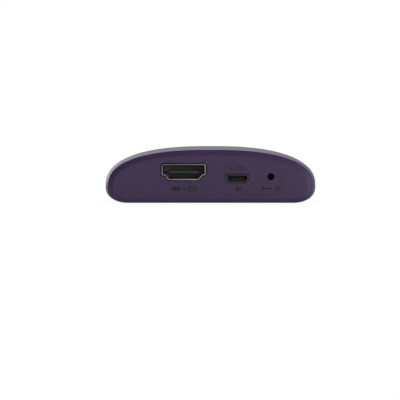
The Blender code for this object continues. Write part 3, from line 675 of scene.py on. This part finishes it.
SOLDER = grained(
    "solder_joint", ((0.55, 0.56, 0.58), (0.72, 0.73, 0.75)), (0.2, 0.38), tint=(1600.0, 3.0),
    relief=(0.3, 0.02, 0.05), Metallic=1.0,
)
INK = grained(
    "printed_ink", ((0.0153, 0.01105, 0.02125), (0.0225, 0.01625, 0.03125)), (0.45, 0.58),
    tint=(1800.0, 4.0), grain=(6000.0,), relief=(0.1, 0.01, 0.0),
)
SMOKED_LENS = grained(
    "smoked_lens", ((0.008, 0.006, 0.010), (0.016, 0.010, 0.018)), (0.05, 0.12), tint=(120.0, 3.0),
    wear=(900.0, 4.0), grain=(300.0,), relief=(0.02, 0.02, 0.08),
    Specular_IOR_Level=0.55, Coat_Weight=0.3, Coat_Roughness=0.04,
)
INFRARED_EPOXY = grained(
    "infrared_epoxy", ((0.010, 0.004, 0.007), (0.024, 0.008, 0.014)), (0.1, 0.2), tint=(500.0, 3.0),
    relief=(0.05, 0.02, 0.1), Coat_Weight=0.5,
)
FERRITE = grained(
    "ferrite", ((0.030, 0.030, 0.034), (0.085, 0.085, 0.090)), (0.5, 0.75), tint=(4000.0, 4.0),
    relief=(0.4, 0.02, 0.15),
)
THERMAL_PAD = grained(
    "thermal_pad", ((0.26, 0.31, 0.36), (0.40, 0.45, 0.50)), (0.85, 0.85), tint=(2200.0, 4.0),
    relief=(0.5, 0.03, 0.15), Subsurface_Weight=0.1,
)
CLEAR_ACRYLIC = grained(
    "clear_acrylic", ((0.90, 0.92, 0.94), (0.96, 0.97, 0.98)), (0.03, 0.12), tint=(200.0,),
    wear=(1500.0, 3.0), Transmission_Weight=0.95, IOR=1.49,
)


# Casing ------------


class Port:
    """A receptacle, from sizes in mm. corners are its outer edge's right half from the top: (x, z, radius).

    tongue is the width and thickness of the contact tongue, and its drop below the middle.
    """

    def __init__(self, kind, wall, leg_y, tongue, corners):
        self.kind, self.wall, self.leg_y = kind, wall * MM, leg_y * MM
        right = [(x * MM, z * MM, radius * MM) for x, z, radius in corners]
        self.corners = right + [(-x, z, radius) for x, z, radius in reversed(right)]
        self.tongue_width, self.tongue_thickness, self.tongue_drop = (size * MM for size in tongue)
        self.shell, self.insulator = f"{kind}_port_shell", f"{kind}_port_insulator"
        self.half_width, self.half_height = right[0][:2]
        low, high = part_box(self.shell)
        self.x = (low.x + high.x) / 2
        self.z = high.z - self.half_height
        self.centre = (self.x, REAR_Y, self.z)
        self.tongue_z = self.z - self.tongue_drop

    def outline(self, growth):
        return rounded(grown(self.corners, growth))


VIDEO = Port(
    "video", wall=0.35, leg_y=-9.0, tongue=(10.0, 1.0, 0.05),
    corners=((7.5, 2.72, 0.9), (7.5, -1.05, 0.6), (6.45, -1.15, 0.25), (5.15, -2.72, 0.3)),
)
POWER = Port(
    "power", wall=0.25, leg_y=-13.8, tongue=(4.0, 0.8, 0.35),
    corners=((3.75, 1.3, 0.45), (3.75, -0.15, 0.35), (2.7, -1.3, 0.35)),
)
PORTS = (VIDEO, POWER)


def window_cutter(name, growth):
    size = (WINDOW_WIDTH + 2 * growth, WINDOW_HEIGHT + 2 * growth)
    outline = rectangle(*size, size[1] / 2 - 0.1 * MM, steps=12)
    depth = 8.0 * MM
    return filled(name, [outline], depth, (0, NOSE_Y - depth / 4, WINDOW_Z), along_y=True)


def top_cover():
    cover = casing_solid("cover_skin", 0.0, COVER_REAR_Y)
    cut(cover, slab("below", -HEIGHT, COVER_LOW.z))
    lap = casing_solid("lap", LAP_INSET - PARTING_GAP / 2, BEYOND_REAR_Y)
    cut(lap, slab("above", WAIST_Z + LAP_HEIGHT + PARTING_GAP, 2 * HEIGHT))
    cut(cover, lap, casing_solid("hollow", WALL, BEYOND_REAR_Y), window_cutter("opening", WINDOW_FIT))
    catch_size, catch_x, catch_z = (2.2 * MM, CLIP_LENGTH, 1.0 * MM), 33.6 * MM, 8.25 * MM
    places = [(side * catch_x, y, catch_z) for side in (-1, 1) for y in CLIP_YS]
    join(cover, *[box("catch", catch_size, place) for place in places])
    dress(cover, CASING, replaces="top_cover", sharp_angle=30.0)


def hook(side, y):
    """A clip that stands on the floor, its barb over the cover's catch."""
    inner, outer, barb = side * 31.2 * MM, side * 32.2 * MM, side * 33.1 * MM
    foot, under, tip = FLOOR_Z + WALL - 0.1 * MM, 8.9 * MM, 10.4 * MM
    outline = [(inner, foot), (outer, foot), (outer, under), (barb, under), (outer, tip), (inner, tip)]
    return filled("hook", [outline], CLIP_LENGTH, (0, y, 0), along_y=True)


def foot_outline(node, growth=0.0, in_place=True):
    """A foot's rounded outline, at its own place or round the origin."""
    low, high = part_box(node)
    size = (high.x - low.x + 2 * growth, high.y - low.y + 2 * growth)
    x, y = ((low.x + high.x) / 2, (low.y + high.y) / 2) if in_place else (0.0, 0.0)
    return rectangle(*size, size[1] / 2 - 0.05 * MM, x, y, steps=12)


def upright(name, radius, low, high, x, y, taper=1.0):
    """A round post. taper is the radius at its top end as a share of the rest."""
    profile = [(0, low), (radius, low), (radius, high - 0.3 * MM), (radius * taper, high), (0, high)]
    return turned(name, profile, (x, y, 0), steps=32)


def bottom_cover():
    base = casing_solid("base_skin", 0.0, COVER_REAR_Y)
    cut(base, slab("above", WAIST_Z - PARTING_GAP / 2, 2 * HEIGHT))
    lap = casing_solid("lap", LAP_INSET + PARTING_GAP / 2, COVER_REAR_Y)
    cut(lap, slab("above_lap", WAIST_Z + LAP_HEIGHT, 2 * HEIGHT))
    notch = (WINDOW_WIDTH + 2 * WINDOW_FLANGE + 0.6 * MM, 12.0 * MM, 3.0 * MM)
    cut(lap, box("notch", notch, (0, NOSE_Y, WAIST_Z - PARTING_GAP / 2 + 1.5 * MM)))
    join(base, lap)
    cut(base, casing_solid("hollow", WALL, BEYOND_REAR_Y))
    board_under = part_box("circuit_board")[0].z - 0.05 * MM
    root, inner_floor = FLOOR_Z + WALL / 2, FLOOR_Z + WALL
    posts, pilots = [], []
    for side in (-1, 1):
        posts.append(upright("boss", 2.3 * MM, root, board_under, side * SCREW_X, SCREW_Y))
        pilots.append(upright("pilot", 1.0 * MM, inner_floor, HEIGHT, side * SCREW_X, SCREW_Y))
        posts.append(upright("post", 2.2 * MM, root, board_under, side * PIN_X, PIN_Y))
        posts.append(upright("pin", 0.95 * MM, inner_floor, 7.6 * MM, side * PIN_X, PIN_Y, taper=0.75))
        posts += [hook(side, y) for y in CLIP_YS]
    join(base, *posts)
    cut(base, *pilots)
    slots = []
    for i in range(VENT_COUNT):
        x = (i - (VENT_COUNT - 1) / 2) * VENT_PITCH
        slots.append(rectangle(VENT_WIDTH, VENT_LENGTH, VENT_WIDTH / 2 - 0.01 * MM, x, VENT_Y))
    seats = [foot_outline(node, 0.1 * MM) for node in FEET]
    low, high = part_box("rating_label")
    label_size = (high.x - low.x + 0.4 * MM, high.y - low.y + 0.4 * MM)
    label = rectangle(*label_size, 1.2 * MM, 0, (low.y + high.y) / 2)
    cut(
        base,
        filled("slots", slots, 6 * WALL, (0, 0, 0)),
        filled("seats", seats, 1.2 * MM, (0, 0, FLOOR_Z)),
        filled("label_seat", [label], 0.5 * MM, (0, 0, FLOOR_Z)),
    )
    dress(base, CASING, replaces="bottom_cover", sharp_angle=30.0)


def bevel_profile():
    """The panel's edge as (inset, depth): a constant slope from the flat face, rounded over at the rim."""
    slope = math.tan(BEVEL_ANGLE)
    profile = [(BEVEL, 0.0), (BEVEL * 0.6, BEVEL * 0.4 * slope)]
    start = (BEVEL - ROUNDING) * slope
    curl = RIM_Y - REAR_Y - start - ROUNDING * slope
    for i in range(BEVEL_STEPS + 1):
        u = i / BEVEL_STEPS
        profile.append((ROUNDING * (1 - u), start + ROUNDING * slope * u + curl * u ** RIM_POWER))
    return profile


def rear_panel():
    """The end panel: a flat face, a bevel that steepens towards a crisp rim, and the lip that plugs in."""
    loops = []
    for inset, depth in bevel_profile():
        loops.append(casing_loop(RIM_Y, REAR_Y + depth, inset, inset * BASE_BEVEL_SHARE))
    plug_inset = WALL + PLUG_FIT
    for y, inset in ((PANEL_INNER_Y, 0.0), (PANEL_INNER_Y, plug_inset), (PANEL_HIGH.y, plug_inset)):
        loops.append(casing_loop(PANEL_INNER_Y, y, inset))
    panel = loft("end_panel", loops)
    hollow_ends = (PANEL_INNER_Y, PANEL_HIGH.y + MM)
    depth = 6.0 * MM
    pin_hole = circle(RESET_HOLE_RADIUS, 48)
    cut(
        panel,
        loft("panel_hollow", [casing_loop(PANEL_INNER_Y, y, plug_inset + PLUG_WALL) for y in hollow_ends]),
        *[filled(port.kind + "_hole", [port.outline(PORT_GAP)], depth, port.centre, True) for port in PORTS],
        filled("pin_hole", [pin_hole], depth, (RESET_X, REAR_Y, RESET_Z), along_y=True),
    )
    dress(panel, PANEL, replaces="rear_panel", sharp_angle=32.0, flat_axis=(0, 1, 0))


def front_window():
    lens = casing_solid("window_lens", WINDOW_INSET, REAR_Y)
    keep_inside(lens, window_cutter("lens_edge", 0.0))
    flange = casing_solid("flange", WALL + 0.05 * MM, REAR_Y)
    keep_inside(flange, window_cutter("flange_edge", WINDOW_FLANGE))
    join(lens, flange)
    cut(lens, casing_solid("behind", WALL + 0.8 * MM, BEYOND_REAR_Y))
    dress(lens, SMOKED_LENS, replaces="front_window", sharp_angle=30.0)


def feet():
    for node in FEET:
        low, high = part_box(node)
        foot = filled(node + "_pad", [foot_outline(node, in_place=False)], high.z - low.z, (low + high) / 2)
        round_edges(foot, 0.18 * MM, 4)
        dress(foot, RUBBER, replaces=node)


def rating_label():
    low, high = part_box("rating_label")
    size = high - low
    label = filled("label_film", [rectangle(size.x, size.y, 1.0 * MM)], size.z, (low + high) / 2)
    dress(label, blank_film("label_film"), replaces="rating_label")


# Ports ------------


def port_shell(port, material):
    """A receptacle's stamped shell with a rolled front lip, and its two board legs."""
    low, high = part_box(port.shell)
    wall = port.wall
    lip = wall * 0.3
    rolled = [(lip, 0.0), (lip * 0.3, lip * 0.3), (0.0, lip)]
    rolled += [(depth, wall - inset) for depth, inset in reversed(rolled)]
    steps = [(low.y + depth, inset) for depth, inset in rolled] + [(high.y, wall), (high.y, 0.0)]
    loops = [[(port.x + u, y, port.z + v) for u, v in port.outline(-inset)] for y, inset in steps]
    shell = loft(port.kind + "_shell", loops, closed=True)
    leg_top = port.z + port.corners[1][1] + 0.9 * MM
    leg_x = port.half_width - wall / 2
    leg_size = (wall, LEG_DEPTH, leg_top - low.z)
    places = [(port.x + side * leg_x, port.leg_y, (leg_top + low.z) / 2) for side in (-1, 1)]
    join(shell, *[box("leg", leg_size, place) for place in places])
    dress(shell, material, replaces=port.shell, sharp_angle=50.0)


def port_insulator(port, material):
    """The moulded block that fills a shell's back end, with its tongue."""
    low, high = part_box(port.insulator)
    depth = (high.y - low.y) * 0.27
    block = filled(port.kind + "_insulator", [port.outline(-port.wall - 0.05 * MM)], depth, (0, 0, 0), True)
    block.data.transform(Matrix.Translation((port.x, high.y - depth / 2, port.z)))
    half, nose = port.tongue_thickness / 2, 0.16 * MM
    front, shoulder, back = low.y, low.y + 1.6 * nose, high.y - depth / 2
    upper = [(front, half - nose), (shoulder, half), (back, half)]
    outline = upper + [(y, -z) for y, z in reversed(upper)]
    outline = [(y, port.tongue_z + z) for y, z in outline]
    join(block, extruded_x("tongue", outline, port.tongue_width, port.x))
    dress(block, material, replaces=port.insulator, sharp_angle=30.0)


def contact_row(port, label, count, side, sizes):
    """Spring contacts lying on one side of a port's tongue, their tips turned down into it.

    sizes, in mm: pitch, distances from the tongue's tip and from the block's back, and width.
    """
    pitch, front, back, width = (size * MM for size in sizes)
    low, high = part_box(port.insulator)
    tip = low.y + front + 0.3 * MM
    z = port.tongue_z + side * port.tongue_thickness / 2
    up = side * BLADE
    outline = [
        (low.y + front, z), (tip, z + up), (high.y - back, z + up), (high.y - back, z - up), (tip, z - up),
    ]
    for i in range(count):
        x = port.x + (i - (count - 1) / 2) * pitch
        dress(extruded_x(f"{port.kind}_contact_{label}{i + 1}", outline, width, x), GOLD)


def grips(port, label, sizes):
    """Two springs bent inwards from a shell's roof or floor: root, belly and turned-up tip.

    sizes, in mm: distance from the middle, root and tip from the front, dip (negative from the floor), width,
    sheet thickness, and how far the root is sunk in the wall.
    """
    spread, root, tip, dip, width, sheet, sunk = (size * MM for size in sizes)
    front_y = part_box(port.shell)[0].y
    z = port.z + math.copysign(port.half_height - port.wall + sunk, dip)
    steps = 14
    top, under = [], []
    for i in range(steps + 1):
        t = i / steps
        y = front_y + root + (tip - root) * t
        belly = dip * math.sin(math.pi * min(t / 0.85, 1.0) * 0.9) ** 1.5
        top.append((y, z - belly))
        under.append((y, z - belly - math.copysign(sheet, dip)))
    for i, side in enumerate((-1, 1)):
        name = f"{port.kind}_grip_{label}{i + 1}"
        grip = extruded_x(name, top + under[::-1], width, port.x + side * spread)
        dress(grip, GRIP, sharp_angle=50.0)


def ports():
    tongue_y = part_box(VIDEO.insulator)[0].y
    # Painted light: the video shell's metal is painted brighter to the right and towards the bottom, and
    # darker to the left and top.
    painted_light = ((26.0, 0.0, -75.0), (VIDEO.x, 0.0, VIDEO.z))
    port_shell(VIDEO, metal("video_nickel", (0.60, 0.59, 0.61), 0.32, brushed=(1, 0.1, 1), painted_light=painted_light))
    port_shell(POWER, metal("power_nickel", (0.24, 0.24, 0.24), 0.36, brushed=(1, 0.1, 1)))
    deeper = (tongue_y + 0.3 * MM, tongue_y + 2.5 * MM, (0.135, 0.133, 0.131))
    port_insulator(VIDEO, nylon("video_nylon", (0.052, 0.0515, 0.051), 0.55, deeper=deeper))
    port_insulator(POWER, nylon("power_nylon", (0.030, 0.030, 0.030), 0.55))
    contact_row(VIDEO, "upper_", 10, 1, (1.0, 1.4, 3.0, 0.42))
    contact_row(VIDEO, "lower_", 9, -1, (1.0, 1.4, 3.0, 0.42))
    contact_row(POWER, "", 5, 1, (0.65, 0.4, 1.5, 0.38))
    grips(VIDEO, "upper_", (3.4, 8.0, 3.4, 0.32, 1.7, 0.15, 0.05))
    grips(VIDEO, "lower_", (2.6, 8.0, 3.4, -0.32, 1.5, 0.15, 0.05))
    grips(POWER, "", (1.5, 3.6, 1.2, -0.22, 0.7, 0.1, 0.03))


# Reset button ------------


def reset_button():
    """The button behind the pinhole: a dished tip, a shaft, a collar behind the panel and a tail."""
    low, high = RESET_LOW, RESET_HIGH
    radius, collar, tail = RESET_TIP_RADIUS, (high.x - low.x) / 2, 0.8 * MM
    collar_front = low.y - PANEL_INNER_Y - 0.05 * MM
    collar_back, tail_end = collar_front - 0.6 * MM, low.y - high.y
    profile = [
        (0, -0.18 * MM), (radius * 0.35, -0.13 * MM), (radius * 0.6, -0.04 * MM), (radius * 0.74, 0),
        (radius * 0.9, -0.04 * MM), (radius, -0.15 * MM), (radius, collar_front), (collar, collar_front),
        (collar, collar_back), (tail, collar_back), (tail, tail_end), (0, tail_end),
    ]
    button = turned_along_y("reset_pin", profile, RESET_X, low.y, RESET_Z, steps=48)
    black = nylon("reset_nylon", (0.0030, 0.0030, 0.0032), 0.75, specular=0.1)
    dress(button, black, body=RESET, replaces="reset_button")


def switch_dome():
    """The snap dome."""
    low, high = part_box("switch_dome")
    sheet, steps = 0.06 * MM, 12
    radius, height = (high.x - low.x) / 2, high.y - low.y - sheet
    radii = [radius * i / steps for i in range(steps + 1)]
    top = [(r, height * (1 - (r / radius) ** 2) + sheet) for r in radii]
    under = [(r, z - sheet) for r, z in reversed(top)]
    dome = turned_along_y("snap_dome", top + under, RESET_X, high.y, RESET_Z, steps=40)
    dress(dome, SPRING, replaces="switch_dome")
    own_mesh(dome)


# Printed pictograms ------------


def printed(name, outlines, x, z):
    """A pictogram printed on the rear panel, from (x, z) outlines in mm about its own middle."""
    outlines = [[(u * MM, v * MM) for u, v in outline] for outline in outlines]
    thickness, proud = 0.04 * MM, 0.012 * MM
    mark = filled(name, outlines, thickness, (x, REAR_Y - proud + thickness / 2, z), along_y=True)
    dress(mark, INK)


def pictograms():
    """Marks by the ports: plug to screen, direct current, cable, and pin to restart. Outlines are in mm."""
    stroke = 0.36
    half = stroke / 2

    def bar(length, height=stroke, radius=0.05, steps=3):
        return rectangle(length, height, radius, steps=steps)

    plug = [
        (1.45, 0.72), (1.45, -0.72), (-0.35, -0.72), (-0.8, -0.36),
        (-1.45, -0.36), (-1.45, 0.36), (-0.8, 0.36), (-0.35, 0.72),
    ]
    arrow = [
        (-0.95, half), (0.15, half), (0.15, 0.6), (0.95, 0.0), (0.15, -0.6), (0.15, -half), (-0.95, -half),
    ]
    screen = [bar(2.9, 1.8, 0.35, 5), bar(2.9 - 2 * stroke, 1.8 - 2 * stroke, 0.1, 5)]
    play = [(-0.32, 0.36), (0.44, 0.0), (-0.32, -0.36)]
    bolt = [(0.42, 0.88), (-0.62, -0.16), (-0.1, -0.16), (-0.42, -0.88), (0.62, 0.16), (0.1, 0.16)]
    needle = [(-1.25, half), (0.9, half), (1.3, 0.0), (0.9, -half), (-1.25, -half)]
    turn_head = [(-0.42, 0.0), (0.42, 0.0), (0.0, 0.6)]

    video = (VIDEO.x + 0.12 * MM, VIDEO.z - 5.65 * MM)
    rating = (POWER.x, POWER.z + 3.4 * MM)
    cable = (POWER.x, POWER.z - 3.5 * MM)
    reset = (RESET_X, RESET_Z - 4.05 * MM)
    marks = [
        ("plug", video, -2.75, 0.0, [plug]),
        ("arrow", video, -0.05, 0.0, [arrow]),
        ("screen", video, 2.75, 0.0, screen),
        ("play", video, 2.75, 0.0, [play]),
        ("power", rating, -2.15, 0.0, [bolt]),
        ("direct_bar", rating, 1.1, 0.42, [bar(3.4)]),
        *[(f"direct_dash_{i}", rating, 1.28 * i - 1.46, -0.42, [bar(0.84)]) for i in (1, 2, 3)],
        ("cable_plug", cable, 0.1, 0.0, [bar(1.0, 1.4, 0.25, 5)]),
        *[(f"cable_prong_{i}", cable, 1.1, 0.84 * i - 1.26, [bar(0.7)]) for i in (1, 2)],
        ("cable_cord", cable, -1.0, 0.0, [bar(0.95)]),
        ("pin_head", reset, -2.65, 0.0, [circle(0.5, 28)]),
        ("pin", reset, -0.85, 0.0, [needle]),
        ("turn", reset, 2.2, 0.0, [arc_band(0.64, stroke, 75, 370)]),
        ("turn_head", reset, 2.82, 0.1, [turn_head]),
    ]
    for name, (x, z), across, up, outlines in marks:
        printed("mark_" + name, outlines, x + across * MM, z + up * MM)


# Board ------------


def small_chips():
    """Small surface-mount chips on the board's bare ground, and their soldered ends."""
    board_low, board_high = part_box("circuit_board")
    top = board_high.z
    random = np.random.default_rng(7)
    clear_of = ("circuit_board", "light_guide", "top_cover", "rear_panel", "bottom_cover", "front_window")
    taken = [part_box(node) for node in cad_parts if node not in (*clear_of, "rating_label", *FEET)]
    margin, room = 1.5 * MM, 0.5 * MM
    placed = []
    for _ in range(SMALL_CHIP_TRIES):
        if len(placed) >= SMALL_CHIPS:
            break
        x = random.uniform(board_low.x + margin, board_high.x - margin)
        y = random.uniform(board_low.y + margin, board_high.y - margin)
        turned_round = random.random() < 0.5
        length, width = (1.0 * MM, 0.5 * MM) if random.random() < 0.7 else (1.6 * MM, 0.8 * MM)
        half = (width / 2, length / 2) if turned_round else (length / 2, width / 2)
        clear = all(
            x + half[0] + room < low.x or x - half[0] - room > high.x
            or y + half[1] + room < low.y or y - half[1] - room > high.y or low.z > top + 1.5 * MM
            for low, high in taken
        )
        apart = all(abs(x - other[0]) > 1.5 * MM or abs(y - other[1]) > 1.2 * MM for other in placed)
        from_pin = math.hypot(abs(x) - PIN_X, y - PIN_Y)
        from_screw = math.hypot(abs(x) - SCREW_X, y - SCREW_Y)
        if clear and apart and from_pin > 2.6 * MM and from_screw > 3.4 * MM:
            placed.append((x, y, length, width, turned_round))
    bodies, ends = bmesh.new(), bmesh.new()
    for x, y, length, width, turned_round in placed:
        height = width * 0.7
        spin = Matrix.Rotation(math.pi / 2 if turned_round else 0.0, 4, "Z")
        place = Matrix.Translation((x, y, top + 0.05 * MM + height / 2)) @ spin
        size = Matrix.Diagonal((length * 0.56, width * 0.94, height * 0.94, 1.0))
        bmesh.ops.create_cube(bodies, size=1.0, matrix=place @ size)
        for side in (-1, 1):
            shift = Matrix.Translation((side * length * 0.4, 0, 0))
            size = Matrix.Diagonal((length * 0.22, width, height, 1.0))
            bmesh.ops.create_cube(ends, size=1.0, matrix=place @ shift @ size)
    brown = nylon("chip_ceramic", (0.16, 0.09, 0.045), 0.4)
    dress(solid("small_chips", bodies), brown)
    dress(solid("small_chip_ends", ends), SOLDER)


def solder_joints():
    """A fillet of solder round the foot of each leg that stands on the board."""
    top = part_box("circuit_board")[1].z
    places = []
    for port in PORTS:
        low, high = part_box(port.shell)
        places += [(x, port.leg_y, 1.4) for x in (low.x + port.wall / 2, high.x - port.wall / 2)]
    for node in ("antenna_left", "antenna_right"):
        low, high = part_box(node)
        places += [((low.x + high.x) / 2, low.y + along, 1.0) for along in (0.6 * MM, 4.2 * MM)]
    for i, (x, y, size) in enumerate(places):
        height, radius = 0.45 * MM * size, 0.75 * MM * size
        fillet = [(radius * (0.3 + 0.7 * t), height * (1 - t) ** 2) for t in np.linspace(0, 1, 7)]
        profile = [(0, height), *fillet, (0, -0.02 * MM)]
        joint = turned(f"solder_joint_{i + 1}", profile, (x, y, top + 0.03 * MM), steps=28)
        dress(joint, SOLDER, sharp_angle=60.0)


def electronics_looks():
    """Materials for the CAD nodes that are shown as they are."""
    looks = [
        (solder_mask("solder_mask"), "circuit_board"),
        (NYLON, "switch_base"),
        (nylon("plunger_nylon", (0.010, 0.010, 0.011)), "switch_plunger"),
        (INFRARED_EPOXY, "infrared_receiver"),
        (light_package("light_package"), "status_light"),
        (CLEAR_ACRYLIC, "light_guide"),
        (THERMAL_PAD, "thermal_pad"),
        (ALUMINIUM, "heat_spreader"),
        (FERRITE, "power_inductor"),
        (capacitor_metal("capacitor_metal"), "bulk_capacitor"),
        (ZINC, "board_screw_left", "board_screw_right", "clock_crystal"),
        (TIN, "switch_frame", "receiver_cage", "processor_shield", "wireless_shield", "antenna_left"),
        (TIN, "antenna_right"),
    ]
    for node in ("processor", "memory_chip", "flash_chip", "wireless_chip", "power_regulator"):
        looks.append((epoxy(node + "_epoxy", node), node))
    for material, *nodes in looks:
        for node in nodes:
            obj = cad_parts[node]
            obj.data.materials.clear()
            obj.data.materials.append(material)


# Stage ------------


def seen_from_below(nodes):
    """A socket that is 1 while the camera is under the floor."""
    ways = {"vector_type": "POINT", "convert_from": "CAMERA", "convert_to": "WORLD"}
    camera_at = nodes.add("VectorTransform", {0: (0, 0, 0)}, **ways)
    return nodes.math("LESS_THAN", nodes.part(camera_at, "Z"), 0.0)


def studio_world():
    """Soft light from all round, written as broad lobes over the sky. The camera itself sees plain white."""
    world = bpy.data.worlds.new("studio")
    world.use_nodes = True
    nodes = Nodes(world.node_tree)
    nodes.tree.nodes.clear()
    direction = nodes.add("TexCoord", out="Generated")
    light = nodes.ranged(seen_from_below(nodes), AMBIENT, AMBIENT_FROM_BELOW)
    for axis, strength in LOBES:
        facing = nodes.vector("DOT_PRODUCT", direction, Vector(axis).normalized())
        span = (math.cos(LOBE_EDGE), math.cos(LOBE_CORE))
        lobe = nodes.ranged(facing, 0.0, strength, *span, interpolation_type="SMOOTHSTEP")
        light = nodes.math("ADD", light, lobe)
    sky = nodes.add("Background", {"Color": WHITE, "Strength": light})
    white = nodes.add("Background", {"Color": WHITE})
    shown = nodes.add("MixShader", {0: nodes.add("LightPath", out="Is Camera Ray"), 1: sky, 2: white})
    nodes.feed(nodes.tree.nodes.new("ShaderNodeOutputWorld").inputs["Surface"], shown)
    bpy.context.scene.world = world


def studio_floor():
    """A pale floor with only a trace of contact shade. Seen from below it is clear."""
    floor = box("studio_floor", (6.0, 6.0, 1.8 * MM), (0, 0, -1.1 * MM))
    look = Look("floor_paper")
    near = look.add("AmbientOcclusion", {"Distance": 6 * MM}, out="AO")
    seen = look.add("Emission", {"Color": look.mix(near, (0.95, 0.95, 0.955), WHITE)})
    matt = look.add("BsdfDiffuse", {"Color": (0.25, 0.25, 0.25)})
    from_pool = look.vector("DISTANCE", look.place, POOL_AT)
    light = look.math("ADD", look.ranged(from_pool, POOL_STRENGTH, 0.0, 0.0, POOL_RADIUS), FLOOR_GLOW)
    paper = look.add("AddShader", {0: matt, 1: look.add("Emission", {"Color": WHITE, "Strength": light})})
    shown = look.add("MixShader", {0: look.add("LightPath", out="Is Camera Ray"), 1: paper, 2: seen})
    clear = look.add("BsdfTransparent")
    result = look.add("MixShader", {0: seen_from_below(look), 1: shown, 2: clear})
    look.feed(look.tree.nodes["Material Output"].inputs["Surface"], result)
    floor.data.materials.append(look.material)


def camera():
    """Almost straight at the rear panel, from a little above it, with a long lens."""
    data = bpy.data.cameras.new("camera")
    data.lens = LENS
    data.clip_start, data.clip_end = 0.01, 10.0
    obj = add_object("camera", data, CAMERA_AT)
    obj.rotation_euler = (math.pi / 2 - CAMERA_TILT, 0, 0)
    bpy.context.scene.camera = obj
    bpy.context.scene.view_settings.view_transform = "Standard"


# Build ------------

top_cover()
bottom_cover()
rear_panel()
front_window()
feet()
rating_label()
ports()
reset_button()
switch_dome()
pictograms()
small_chips()
solder_joints()
electronics_looks()
studio_world()
studio_floor()
camera()
